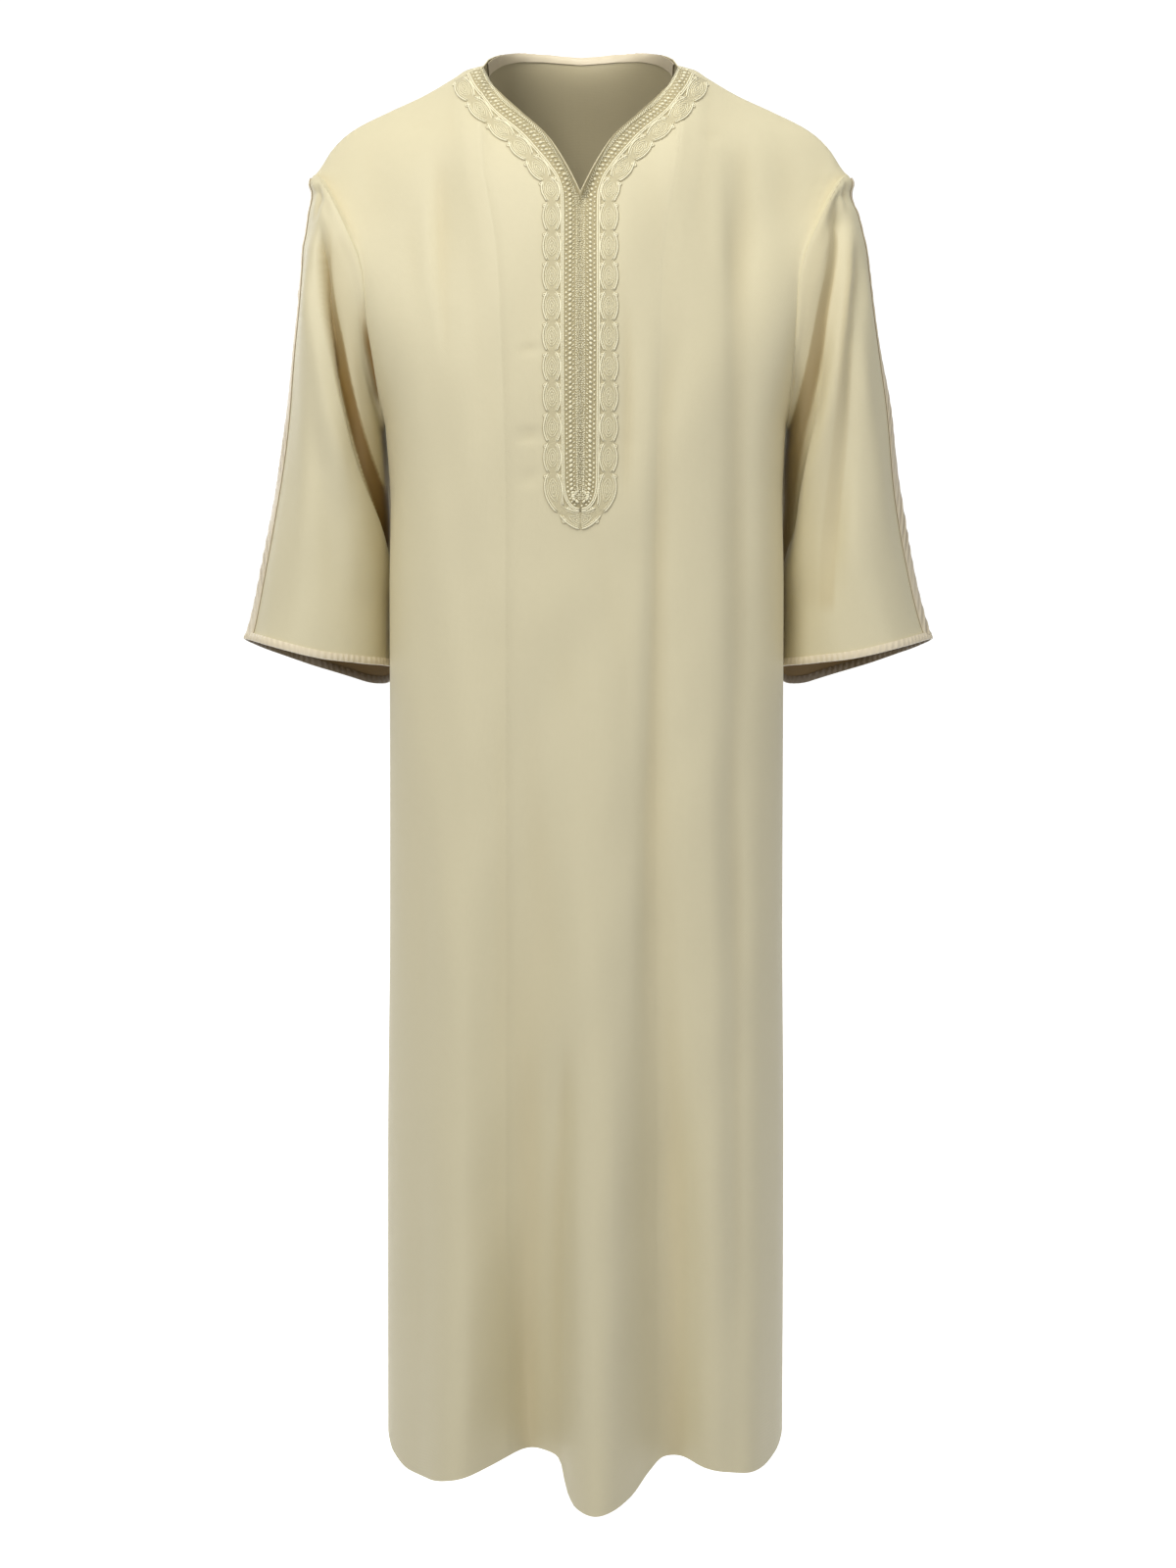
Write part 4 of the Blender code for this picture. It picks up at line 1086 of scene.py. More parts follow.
def neck_band():
    """The band's face towards the neck, from the back neckline down."""
    across = np.linspace(-BAND_HALF, BAND_HALF, BAND_COLUMNS)[None]
    share = np.linspace(0.0, 1.0, BAND_ROWS)[:, None]
    level = curve(NECKLINE, 2, np.abs(across)) + 0.3 - BAND * share
    face, out = on_panel(across + 0 * share, level, 1)
    swell = (0.25 + 0.1 * np.sin(across / 3.1 + 2 * share)) * np.sin(np.pi * share)
    return face - out * (CLOTH + BAND_OFF + SATIN + swell)[..., None], -out


face, out = neck_band()
band = shell("neck_satin_band", face, out, SATIN)
band_length = lengths(face, 1)[0, -1]

# %% [markdown]
# ## Cord and knot work
#
# The neckline and placket carry the robe's handwork: a flat braid between two cords, filled with
# knots in rows, and beside it a border of waves and curls couched in fine cord. Its layout is worked
# out in the braid's own terms: a distance along the braid's outer edge and a distance out from it.
# In these terms every row of knots is a straight line and the border is a chain of even arcs. The
# map of the panel bends it all over the chest, round the neck and round the arch at the bottom.

# %% The braid's edge
# the braid's outer edge from the shoulder to the bottom of the placket: across, level
BRAID_EDGE = (
    (104.0, -7.5),
    (97.4, -23.5),
    (81.0, -47.8),
    (52.6, -75.5),
    (39.0, -92.0),
    (27.4, -107.0),
    (20.2, -119.0),
    (16.6, -134.0),
    (16.1, -166.0),
    (16.1, -260.0),
    (15.6, -350.0),
    (15.3, -386.0),
    (14.5, -396.0),
    (12.2, -404.2),
    (8.4, -409.6),
    (4.2, -412.6),
    (0.1, -413.4),
)
NECK_EDGE = (
    (90.5, -1.0),
    (86.0, -13.0),
    (72.0, -33.0),
    (54.0, -53.0),
    (30.0, -78.0),
    (14.0, -104.0),
    (0.2, -131.5),
)
BRAID_FINE = 900  # points along the edge
NECK_FINE = 400  # points along the neck
EDGE_ROUNDS = 24  # how often its direction is evened out
ARCH = 22.0  # length of one half of the arch at the bottom of the placket


def smooth_line(rows, count):
    """A smooth line through a few places across and down, as many points as asked for."""
    way = distances(rows)
    table = np.column_stack([way, rows])
    at = np.linspace(0.0, way[-1], count)
    return np.stack([curve(table, 1, at), curve(table, 2, at)], axis=-1)


def edge_path():
    """Points evenly along the braid's outer edge, the directions out from it, and the distances."""
    path = smooth_line(np.array(BRAID_EDGE), BRAID_FINE)
    way = distances(path)
    even = np.linspace(0.0, way[-1], BRAID_FINE)
    path = on_line(even, way, path)
    tangent = np.gradient(path, axis=0)
    for _ in range(EDGE_ROUNDS):
        tangent[1:-1] = (tangent[:-2] + 2 * tangent[1:-1] + tangent[2:]) / 4
    # the two halves meet square on the middle line, so the border closes there
    to_end = ease(1 - (even[-1] - even) / ARCH)[:, None]
    tangent = unit(unit(tangent) * (1 - to_end) + to_end * [-1.0, 0.0])
    return path, np.stack([-tangent[:, 1], tangent[:, 0]], axis=-1), even


edge_points, edge_out, edge_way = edge_path()
BRAID_LENGTH = edge_way[-1]
print("length of the braid's edge, mm", round(float(BRAID_LENGTH), 1))


def worked(along, out):
    """Across and level of a place given along the braid's edge and out from it, on the wearer's left."""
    along, out = np.broadcast_arrays(np.asarray(along, float), np.asarray(out, float))
    place = on_line(along, edge_way, edge_points) + on_line(along, edge_way, edge_out) * out[..., None]
    return place[..., 0], place[..., 1]


def neck_gap(along):
    """How far the neck edge or the middle line lies inside the braid's edge at each place along it."""
    neck = smooth_line(np.array(NECK_EDGE), NECK_FINE)
    x, level = worked(along, 0.0)
    away = np.stack([x, level], axis=-1)[:, None] - neck[None]
    nearest = np.sqrt((away ** 2).sum(axis=-1)).min(axis=1)
    out = np.interp(along, edge_way, edge_out[:, 0])
    middle = x / np.maximum(out, 0.05)
    return np.minimum(nearest, middle)


# %% [markdown]
# Thousands of knots and stitches would be slow as separate objects. Each kind is instead collected
# as points and faces and made into one mesh for each side. A cord is a six-sided tube along its line,
# a knot is a small flattened dome, and a stitch is a short tapered tube.

# %% Needlework collector
CORD_SIDES = 6
CORD_TIP = 0.35  # thickness of a cord's end, as a part of the whole
SHADOW_OUTLINE = 0.65  # how far a flat, dark band of painted shadow shows beside a cord
SHADOW_OUTLINE_FLAT, SHADOW_OUTLINE_DARK = 0.3, 0.85  # how flat and how dark that band of painted shadow is
ROUND = 100.0  # a cord's six sides and a knot's rim are smoothed into a round


class Needlework:
    """Raised cords, knots and stitches on one half of the front, gathered into one mesh."""

    def __init__(self, side):
        self.side = side
        self.points, self.faces, self.uvs, self.shades, self.count = [], [], [], [], 0

    def lay(self, x, level, lift):
        """Places on the front, given for the wearer's left, as points and directions on this half."""
        return on_panel(np.asarray(x, float) * self.side, np.asarray(level, float), -1, lift)

    def add(self, points, faces, uvs, shades):
        """Adds points and their shades, faces that number these points, and a place for each corner."""
        self.points.append(points)
        self.shades.append(shades)
        self.faces += [tuple(corner + self.count for corner in face) for face in faces]
        self.uvs += uvs
        self.count += len(points)

    def cord_on_painted_shadow(self, x, level, radius, lift):
        """A cord over a flat, dark band of painted shadow that shows along both its sides."""
        self.cord(x, level, radius + SHADOW_OUTLINE, lift - 0.5 * radius, SHADOW_OUTLINE_FLAT, SHADOW_OUTLINE_DARK)
        self.cord(x, level, radius, lift)

    def cord(self, x, level, radius, lift, flat=1.0, dark=None):
        """A cord along a line of places. Its ends close to a point."""
        line, out = self.lay(x, level, lift)
        if len(line) < 3:
            return
        tangent = unit(np.gradient(line, axis=0))
        beside = unit(np.cross(tangent, out))
        turn = np.arange(CORD_SIDES) * 2 * np.pi / CORD_SIDES
        thick = np.broadcast_to(radius, len(line)).copy()
        thick[[0, -1]] *= CORD_TIP
        fore, rise = np.cos(turn)[None, :, None], (np.sin(turn) * flat)[None, :, None]
        ring = beside[:, None] * fore + out[:, None] * rise
        points = (line[:, None] + ring * thick[:, None, None]).reshape(-1, 3)
        way = distances(line)
        rows = len(line)
        face = cells(rows, CORD_SIDES, ring=True)[:, ::-1]
        row, column = np.divmod(face, CORD_SIDES)
        wraps = (column == 0) & (column == CORD_SIDES - 1).any(axis=1)[:, None]
        around = np.where(wraps, CORD_SIDES, column) / CORD_SIDES
        uvs = np.stack([around, way[row]], axis=-1).reshape(-1, 2).tolist()
        last = (rows - 1) * CORD_SIDES
        caps = [tuple(range(CORD_SIDES)), tuple(last + k for k in range(CORD_SIDES - 1, -1, -1))]
        # painted shade: each cord is darker along its sides and underneath, lightest on top
        low = np.tile(0.3 - 0.7 * np.sin(turn) if dark is None else np.full(CORD_SIDES, dark), rows)
        self.add(points, face.tolist() + caps, uvs + [[0.0, 0.0]] * (2 * CORD_SIDES), low)

    def knots(self, x, level, long, wide, high, lean, lift, rings=3, sides=8):
        """Small domes, each long and wide in millimetres, with its long axis leaning off the upright."""
        centre, out = self.lay(x, level, lift)
        plumb = np.array([0.0, 0.0, -1.0])
        down = unit(plumb - out * (out @ plumb)[:, None])
        beside = np.cross(down, out)
        lean = np.broadcast_to(lean, len(centre))
        along = down * np.cos(lean)[:, None] + beside * np.sin(lean)[:, None]
        across = np.cross(out, along)
        turn = np.arange(sides) * 2 * np.pi / sides
        rise = np.linspace(0.0, np.pi / 2, rings + 1)[:-1]
        rounds = [
            np.stack([np.cos(turn) * np.cos(a), np.sin(turn) * np.cos(a), np.full(sides, np.sin(a))], axis=-1)
            for a in rise
        ]
        shape = np.concatenate([*rounds, [[0.0, 0.0, 1.0]]])
        face = [tuple(row) for row in cells(rings, sides, ring=True).tolist()]
        top = rings * sides
        face += [(top - sides + k, top - sides + (k + 1) % sides, top) for k in range(sides)]
        face.append(tuple(range(sides - 1, -1, -1)))
        sizes = (np.broadcast_to(size, len(centre))[:, None, None] for size in (long / 2, wide / 2, high))
        points = centre[:, None]
        for k, (axis, size) in enumerate(zip((along, across, out), sizes)):
            points = points + axis[:, None] * shape[None, :, k : k + 1] * size
        flat_uv = [[float(shape[k, 0]), float(shape[k, 1]) * 0.001] for f in face for k in f]
        # painted shade: each knot is darker at its rim than at its top
        low = 0.85 - 1.4 * shape[:, 2]
        for knot in points:
            self.add(knot, face, flat_uv, low)

    def piece(self, name):
        """The mesh of all that was added."""
        points = np.concatenate(self.points)
        made = make_mesh(name, points, self.faces, ROUND)
        store_cut(made, np.array(self.uvs) * (1.0, MM))
        store(made, "painted_shade", np.clip(np.concatenate(self.shades), 0.0, 1.0))
        return made


# %% [markdown]
# Under the cords lies a ground of close flat stitching, which gives the braid and the border their
# body. It is a thin strip on the cloth with the outline of each trim.

# %% Grounds of the braid and of the border
BRAID_GROUND = 0.6
BORDER_GROUND = 0.4
HALF_GAP = 0.15  # how far a ground stays from the middle line
GROUND_OFF = 0.05  # clear of the cloth under it
GROUND_EDGE = 0.45  # share of a ground's height that it loses towards its edges
BRAID_OVER = 1.4  # how far the braid's ground reaches out past its edge
BORDER_IN, BORDER_OVER = 1.7, 0.5  # where the border's ground starts, and how far it passes the ovals
GROUND_START = 0.4  # along the edge, of both grounds
BORDER_MIDDLE = 9.3  # from the braid's edge to the middle line of the border
WAIST, BULGE = 3.5, 4.1  # half width of the border between medallions, and what a medallion adds
ARC = 0.8  # power of a sine that gives the ovals' sides
BORDER_START = 2.2  # along the edge, of the first waist
REPEATS = 16.5  # medallions on one half: the last one lies across the middle line
REPEAT = (BRAID_LENGTH - BORDER_START) / REPEATS


def half_width(along):
    """Half width of the border at a distance along it."""
    return WAIST + BULGE * np.abs(np.sin(np.pi * (along - BORDER_START) / REPEAT)) ** ARC


def strip(name, side, near, far, columns, high):
    """A flat strip between two lines of places, as a thin shell on the cloth."""
    share = np.linspace(0.0, 1.0, columns)[None]
    x, level = (lerp(a[:, None], b[:, None], share) for a, b in zip(near, far))
    x = np.maximum(x, HALF_GAP)
    rounded = high * (1 - GROUND_EDGE * np.abs(2 * share - 1) ** 4)
    face, out = on_panel(x * side, level, -1, rounded + GROUND_OFF)
    return shell(name, face, out, high)


def border_far(along):
    """The border's outer edge, scalloped beside the medallions."""
    return worked(along, BORDER_MIDDLE + half_width(along) + BORDER_OVER)


braid_grounds, border_grounds = {}, {}
for side, word in ((-1, "right"), (1, "left")):
    along = np.linspace(GROUND_START, BRAID_LENGTH, 420)
    near, far = worked(along, -neck_gap(along)), worked(along, BRAID_OVER)
    braid_grounds[side] = strip("braid_ground_" + word, side, near, far, 15, BRAID_GROUND)
    along = np.linspace(GROUND_START, BRAID_LENGTH, 620)
    near, far = worked(along, BORDER_IN), border_far(along)
    border_grounds[side] = strip("border_ground_" + word, side, near, far, 9, BORDER_GROUND)

# %% [markdown]
# The braid itself, from its outer edge inwards: two plain cords side by side, a row of seed knots, a
# row of large slanting knots, another row of seeds and rows of slanting stitches towards the middle.
# The middle of the placket is filled with fine scattered seeding. The neck edge is whipped with
# close short stitches, as an edge has to be to keep from stretching.

# %% Braid
CORD = 0.66
KNOT_PITCH = 4.3
CORD_STEP = 1.3  # between two points of a plain cord
CORD_PLACES = (0.75, -0.85)  # of the two plain cords, out from the braid's edge
JITTER_ALONG, JITTER_OUT, JITTER_SIZE = 0.16, 0.12, 0.07  # unevenness of handwork, in the knots
SEED_LEVELS = (-134.5, -405.0)  # between which the middle of the placket is seeded
SEED_ACROSS = (0.7, 3.4)
LATTICE_ACROSS, LATTICE_DOWN = 6.0, 17.0  # size of the slanting bars in which the seeds stand higher
WHIPPED, WHIP_PITCH = 150.0, 1.9  # how far along the edge the neck is whipped, and from stitch to stitch
rng = np.random.default_rng(11)


def braid(side, name):
    """Cords, knots and stitches of the braid on one half."""
    work = Needlework(side)
    along = np.arange(0.3, BRAID_LENGTH - 0.2, CORD_STEP)
    for out in CORD_PLACES:
        x, level = worked(along, out)
        keep = x > 0.3
        work.cord_on_painted_shadow(x[keep], level[keep], CORD, BRAID_GROUND + 0.35)
    rows = (
        # out from the edge, pitch as a part of the knots' own, start, long, wide, high, lean
        (-3.5, 1.0, 0.5, 2.3, 1.9, 1.15, 0.3),
        (-6.9, 1.0, 0.0, 3.9, 2.7, 1.75, 0.75),
        (-9.7, 1.0, 0.3, 2.9, 1.2, 0.95, 1.0),
        (-12.3, 0.5, 0.25, 1.6, 1.4, 0.85, -0.5),
    )
    for out, pitch, start, long, wide, high, lean in rows:
        at = np.arange(1.0 + start * KNOT_PITCH, BRAID_LENGTH, KNOT_PITCH * pitch)
        at = at + rng.normal(0.0, JITTER_ALONG, len(at))
        inside = neck_gap(at)
        x, level = worked(at, out + rng.normal(0.0, JITTER_OUT, len(at)))
        turn = np.interp(at, edge_way, np.arctan2(edge_out[:, 1], edge_out[:, 0]))
        keep = (inside > -out + 1.6) & (x > 1.2)
        size = 1 + rng.normal(0.0, JITTER_SIZE, keep.sum())
        leaning = (turn - lean)[keep] * side
        work.knots(x[keep], level[keep], long * size, wide * size, high, leaning, BRAID_GROUND)
    # seeding in the middle of the placket
    levels, places = np.arange(*SEED_LEVELS, -1.75), np.arange(*SEED_ACROSS, 1.25)
    level, x = np.meshgrid(levels, places, indexing="ij")
    x = (x + rng.normal(0.0, 0.28, x.shape)).ravel()
    level = (level + rng.normal(0.0, 0.3, level.shape)).ravel()
    bar = np.abs((np.abs(x) / LATTICE_ACROSS + level / LATTICE_DOWN) % 1.0 - 0.5)
    high, leaning = 0.5 + 0.4 * (bar > 0.36), rng.uniform(0, 3.1, len(x))
    work.knots(x, level, 1.45, 1.1, high, leaning, BRAID_GROUND, rings=2, sides=6)
    # more of it around the point of the neck, where the two halves of the braid meet
    levels, places = np.arange(-126.8, -146.0, -1.6), np.arange(0.9, 9.0, 1.4)
    level, x = np.meshgrid(levels, places, indexing="ij")
    keep = (x > 0.62 * (level + 131) + 2.0) & (x < 9.0 + 0.27 * (level + 127))
    keep &= (level > SEED_LEVELS[0]) | (x > 4.6)
    x, level = (place[keep] + rng.normal(0.0, 0.2, keep.sum()) for place in (x, level))
    leaning = rng.uniform(0, 3.1, len(x))
    work.knots(x, level, 1.5, 1.15, 0.75, leaning, BRAID_GROUND, rings=2, sides=6)
    # the whipped edge of the neck, and slanting stitches between it and the knots
    for at in np.arange(1.2, WHIPPED, WHIP_PITCH):
        gap = float(neck_gap(np.array([at]))[0])
        spans = [(-gap + 0.7, -gap + 3.2, 0.62)]
        if gap > 16.0:
            spans.append((-gap + 3.6, -13.4, 0.5))
        for first, second, radius in spans:
            share = np.linspace(0.0, 1.0, 4)
            x, level = worked(at + 1.3 * share, first + (second - first) * share)
            work.cord(x, level, radius, BRAID_GROUND + 0.2)
    return work.piece(name)


braids = {side: braid(side, name) for side, name in ((-1, "braid_cords_right"), (1, "braid_cords_left"))}
print("braid faces", len(braids[1].data.polygons))

# %% [markdown]
# The border is a chain of pointed ovals. A cord runs in a wave along each side of the chain, doubled
# by a finer one inside it, and at every waist it starts from a small curl. Fine lines nest inside
# each oval. The chain runs on round the arch of the placket, and its last oval lies across the middle
# line, half on each side.

# %% Border of waves and curls
BORDER_CORD = 0.70
FINE_CORD = 0.42
FINE_IN = 1.75  # how far the finer cord lies inside the wave
CURL, CURL_TURNS = 1.75, 1.35  # radius of a curl, and how often it winds
CURL_LEAN = 0.6  # how far its outer end turns from straight along the border
CURL_ALONG, CURL_OUT = 3.0, 2.8  # where it stands, from the waist's place and beyond its half width
LINE_STEP = 1.1


def curl(work, x, level, hand, start):
    """A small spiral about a place, winding in with hand 1 or -1 from an angle at its outer end."""
    t = np.linspace(1.0, 0.0, 15)
    angle = start + hand * CURL_TURNS * 2 * np.pi * (1 - t) ** 0.9
    wide = CURL * (0.25 + 0.75 * t)
    x, level = x + np.cos(angle) * wide, level + np.sin(angle) * wide
    work.cord_on_painted_shadow(x, level, BORDER_CORD * 0.72, BORDER_GROUND + 0.2)


def border(side, name):
    """Waves, curls and nested lines of the border on one half."""
    work = Needlework(side)
    for start in np.arange(BORDER_START, BRAID_LENGTH - 1.0, REPEAT):
        end = min(start + REPEAT, BRAID_LENGTH)
        along = np.arange(start + 0.5, end, LINE_STEP)
        wide = half_width(along)
        for hand in (1, -1):
            work.cord_on_painted_shadow(*worked(along, BORDER_MIDDLE + hand * wide), BORDER_CORD, BORDER_GROUND + 0.35)
            inner = wide > WAIST + 0.6
            fine = worked(along[inner], BORDER_MIDDLE + hand * (wide[inner] - FINE_IN))
            work.cord(*fine, FINE_CORD, BORDER_GROUND + 0.2)
            x, level = worked(start + CURL_ALONG, BORDER_MIDDLE + hand * (WAIST + CURL_OUT))
            lean = np.interp(start, edge_way, np.arctan2(edge_out[:, 1], edge_out[:, 0]))
            curl(work, x, level, hand, lean + math.pi / 2 + hand * CURL_LEAN)
        # nested lines: how wide each bows, as a part of the oval's width, and its length
        for share, length in ((0.60, 17.5), (0.36, 12.5), (0.15, 7.0)):
            t = np.linspace(0.0, 1.0, 16)
            at = start + REPEAT / 2 + (t - 0.5) * length
            bow = (WAIST + BULGE) * share * np.sin(np.pi * t) ** ARC
            at, bow = at[at < BRAID_LENGTH], bow[at < BRAID_LENGTH]
            for hand in (1, -1):
                work.cord(*worked(at, BORDER_MIDDLE + hand * bow), FINE_CORD * 0.85, BORDER_GROUND + 0.15)
    return work.piece(name)


borders = {side: border(side, name) for side, name in ((-1, "border_cords_right"), (1, "border_cords_left"))}
print("border faces", len(borders[1].data.polygons))

# %% [markdown]
# ## A small language for finishes
#
# Materials are node trees, and trees wired by hand are hard to read. The class below wraps a socket,
# so that `dye * 0.7 + 0.15` adds the Math nodes it needs. Colours and vectors go through Mix and Vector
# Math, because a Math node would turn a colour grey. Any other node comes from one method that takes
# the node's type, its settings and the values or links of its sockets.

# %% Wires and finishes
class Wire:
    """A socket of a finish, on which arithmetic adds Math nodes."""

    def __init__(self, finish, socket):
        self.finish = finish
        self.socket = socket

    def math(self, operation, first, second, clamp=False):
        settings = {"operation": operation, "use_clamp": clamp}
        return self.finish.node("ShaderNodeMath", settings, {0: first, 1: second})

    def __add__(self, other):
        return self.math("ADD", self, other)

    def __sub__(self, other):
        return self.math("SUBTRACT", self, other)

    def __mul__(self, other):
        return self.math("MULTIPLY", self, other)

    __radd__ = __add__
    __rmul__ = __mul__

    def clamped(self):
        return self.math("ADD", self, 0.0, clamp=True)

    def sine(self):
        return self.finish.node("ShaderNodeMath", {"operation": "SINE"}, {0: self})

    def lines(self, pitch):
        """A sine that comes back at each pitch, in metres."""
        return (self * (2 * math.pi / pitch)).sine()


class Finish:
    """One material, built from expressions."""

    def __init__(self, name):
        self.material = bpy.data.materials.new(name)
        self.material.use_nodes = True
        self.tree = self.material.node_tree
        self.shader = self.tree.nodes["Principled BSDF"]

    def node(self, kind, settings, sockets, output=0):
        """Adds a node: its settings first, then the values or links of its sockets."""
        made = self.tree.nodes.new(kind)
        for name, value in settings.items():
            setattr(made, name, value)
        for name, value in sockets.items():
            if isinstance(value, Wire):
                self.tree.links.new(value.socket, made.inputs[name])
            else:
                made.inputs[name].default_value = value
        return Wire(self, made.outputs[output])

    def mix(self, mask, first, second):
        """A colour between two, by a mask."""
        sockets = {0: mask, 6: self.colour(first), 7: self.colour(second)}
        return self.node("ShaderNodeMix", {"data_type": "RGBA"}, sockets, 2)

    @staticmethod
    def colour(value):
        return value if isinstance(value, Wire) else (*value, 1.0)

    def attribute(self, name):
        """A number that the mesh keeps for each point."""
        return self.node("ShaderNodeAttribute", {"attribute_name": name}, {}, "Fac")

    def cut(self):
        """Place on the flat cloth, across and down, in metres."""
        place = self.node("ShaderNodeUVMap", {"uv_map": "cut"}, {})
        parts = self.tree.nodes.new("ShaderNodeSeparateXYZ")
        self.tree.links.new(place.socket, parts.inputs[0])
        return [Wire(self, parts.outputs[k]) for k in range(2)]

    def noise(self, scale, detail=2.0, roughness=0.5):
        """Noise over the object, finer with a larger scale."""
        place = self.node("ShaderNodeTexCoord", {}, {}, "Object")
        sockets = {"Vector": place, "Scale": scale, "Detail": detail, "Roughness": roughness}
        return self.node("ShaderNodeTexNoise", {}, sockets)

    def bump(self, height, distance, strength):
        """Normals that show a height, whose full step is a distance in metres."""
        return self.node("ShaderNodeBump", {}, {"Height": height, "Distance": distance, "Strength": strength})

    def finish(self, constants, **links):
        """Sets the shader's own sockets, then links what varies over the surface."""
        for name, value in constants.items():
            self.shader.inputs[name].default_value = value
        for name, value in links.items():
            self.tree.links.new(value.socket, self.shader.inputs[name.replace("_", " ")])
        return self.material


# %% [markdown]
# ## Satin-backed crepe
#
# Crepe is woven from hard-twisted yarn, which leaves a faint pebbled grain, and the satin face gives
# it a soft glow at the turn of a fold. The finish has the fine rib of the weave in the cut's own
# coordinates, the pebble as noise and a slight unevenness of dye. It also has painted shade: a warmer,
# then darker tone painted where cloth turns in on itself, in place of the shade in a crease and the
# light that bounces between its two walls and takes their colour. Its back is painted darker too,
# partly as the duller back of satin-backed crepe and partly as painted shade inside the robe.

# %% Cloth finish
def crepe(name, light, deep, warm_painted_shade, shade, back):
    """Ribbed, pebbled cloth with painted shade, warmer and then darker, in its creases, and a darker back
    that is partly painted shade.
    """
    made = Finish(name)
    across, down = made.cut()
    rib = across.lines(0.0011) * 0.5 + down.lines(0.0014) * 0.5
    pebble = made.noise(900.0, 3.0, 0.6)
    slub = made.noise(160.0, 3.0, 0.55)
    dye = made.noise(7.0, 3.0, 0.6)
    painted_shade = made.attribute("painted_shade")
    base = made.mix((dye * 0.55 + slub * 0.35).clamped(), deep, light)
    # the back's tone is partly the duller back of the cloth and partly painted shade inside the robe
    tone = made.mix(made.attribute("inside").clamped(), base, back)
    # painted shade: warmer, then darker, as a point lies deeper in a crease or in a sleeve's painted fold
    # shade
    tone = made.mix((painted_shade * 1.1).clamped(), tone, warm_painted_shade)
    tone = made.mix((painted_shade * 2.2 - 1.1).clamped(), tone, shade)
    bump = made.bump(rib * 0.35 + pebble * 0.5 + slub * 0.9, 0.00022, 0.55)
    rough = 0.47 + pebble * 0.10 - painted_shade * 0.04
    constants = {
        "Sheen Weight": 0.20,
        "Sheen Roughness": 0.45,
        "Sheen Tint": (1.0, 0.97, 0.84, 1.0),
        "Specular IOR Level": 0.42,
    }
    return made.finish(constants, Base_Color=tone, Roughness=rough, Normal=bump)


# the two crease colours are painted shade, and the back's tone is partly painted shade inside the robe
cloth_finish = crepe(
    "crepe_cream",
    light=(0.735, 0.668, 0.455),
    deep=(0.690, 0.622, 0.414),
    warm_painted_shade=(0.56, 0.455, 0.235),
    shade=(0.225, 0.13, 0.025),
    back=(0.50, 0.435, 0.27),
)
for piece in cloth_pieces:
    piece.data.materials.append(cloth_finish)

# %% [markdown]
# ## Satin and thread
#
# Satin floats its threads over the weave, so it mirrors light along them and reads brighter and
# pinker than the crepe. Embroidery cord is several threads twisted together, which shows as slanting
# ribs round it. Both finishes are a bump in the piece's own coordinates over a slightly uneven dye,
# with painted shade: the satin between its puckers and inside the cuffs, the cord low on its sides.

# %% Satin and thread finishes
def satin(name, light, deep, low, inside):
    """Glossy cloth with fine lines along it, with painted shade between its puckers and on its inside."""
    made = Finish(name)
    across, down = made.cut()
    float_lines = across.lines(0.0006) * 0.5 + made.noise(500.0, 3.0) * 0.8
    dye = made.noise(30.0, 3.0, 0.6)
    tone = made.mix(made.attribute("painted_shade").clamped(), made.mix(dye.clamped(), deep, light), low)
    tone = made.mix(made.attribute("inside").clamped(), tone, inside)
    bump = made.bump(float_lines, 0.00009, 0.5)
    rough = 0.27 + made.noise(220.0, 2.0) * 0.12
    constants = {"Specular IOR Level": 0.6, "Sheen Weight": 0.15}
    return made.finish(constants, Base_Color=tone, Roughness=rough, Normal=bump)


def thread(name, light, deep, low, twist):
    """Twisted cord with a rib at each twist, in metres, with painted shade where it is low."""
    made = Finish(name)
    around, way = made.cut()
    ribs = (around * (2 * math.pi) + way * (2 * math.pi / twist)).sine()
    fuzz = made.noise(1400.0, 3.0, 0.6)
    dye = made.noise(45.0, 4.0, 0.65)
    tone = made.mix((dye * 0.7 + ribs * 0.18 + 0.15).clamped(), deep, light)
    tone = made.mix(made.attribute("painted_shade"), tone, low)
    bump = made.bump(ribs * 0.5 + fuzz, 0.00018, 0.7)
    rough = 0.38 + fuzz * 0.14
    constants = {"Specular IOR Level": 0.45, "Sheen Weight": 0.1}
    return made.finish(constants, Base_Color=tone, Roughness=rough, Normal=bump)


def ground(name, light, deep):
    """Close flat stitching in wavy rows."""
    made = Finish(name)
    across, down = made.cut()
    rows = (across * (2 * math.pi / 0.0008) + down.lines(0.0021) * 1.2).sine()
    fuzz = made.noise(900.0, 3.0, 0.6)
    tone = made.mix((fuzz * 0.6 + rows * 0.25 + 0.2).clamped(), deep, light)
    bump = made.bump(rows * 0.6 + fuzz * 0.8, 0.0002, 0.7)
    constants = {"Specular IOR Level": 0.35, "Roughness": 0.55, "Sheen Weight": 0.2}
    return made.finish(constants, Base_Color=tone, Normal=bump)


# the low colour is painted shade between the puckers, and the inside colour is painted shade inside the cuff
# binding
satin_finish = satin(
    "satin_blush",
    light=(0.88, 0.78, 0.575),
    deep=(0.78, 0.67, 0.475),
    low=(0.40, 0.315, 0.19),
    inside=(0.17, 0.11, 0.04),
)
# the low colour is the painted shade on the cords' sides, the knots' rims and the painted shadow outline
thread_finish = thread(
    "thread_cream",
    light=(0.99, 0.945, 0.72),
    deep=(0.87, 0.81, 0.57),
    low=(0.40, 0.33, 0.165),
    twist=0.0021,
)
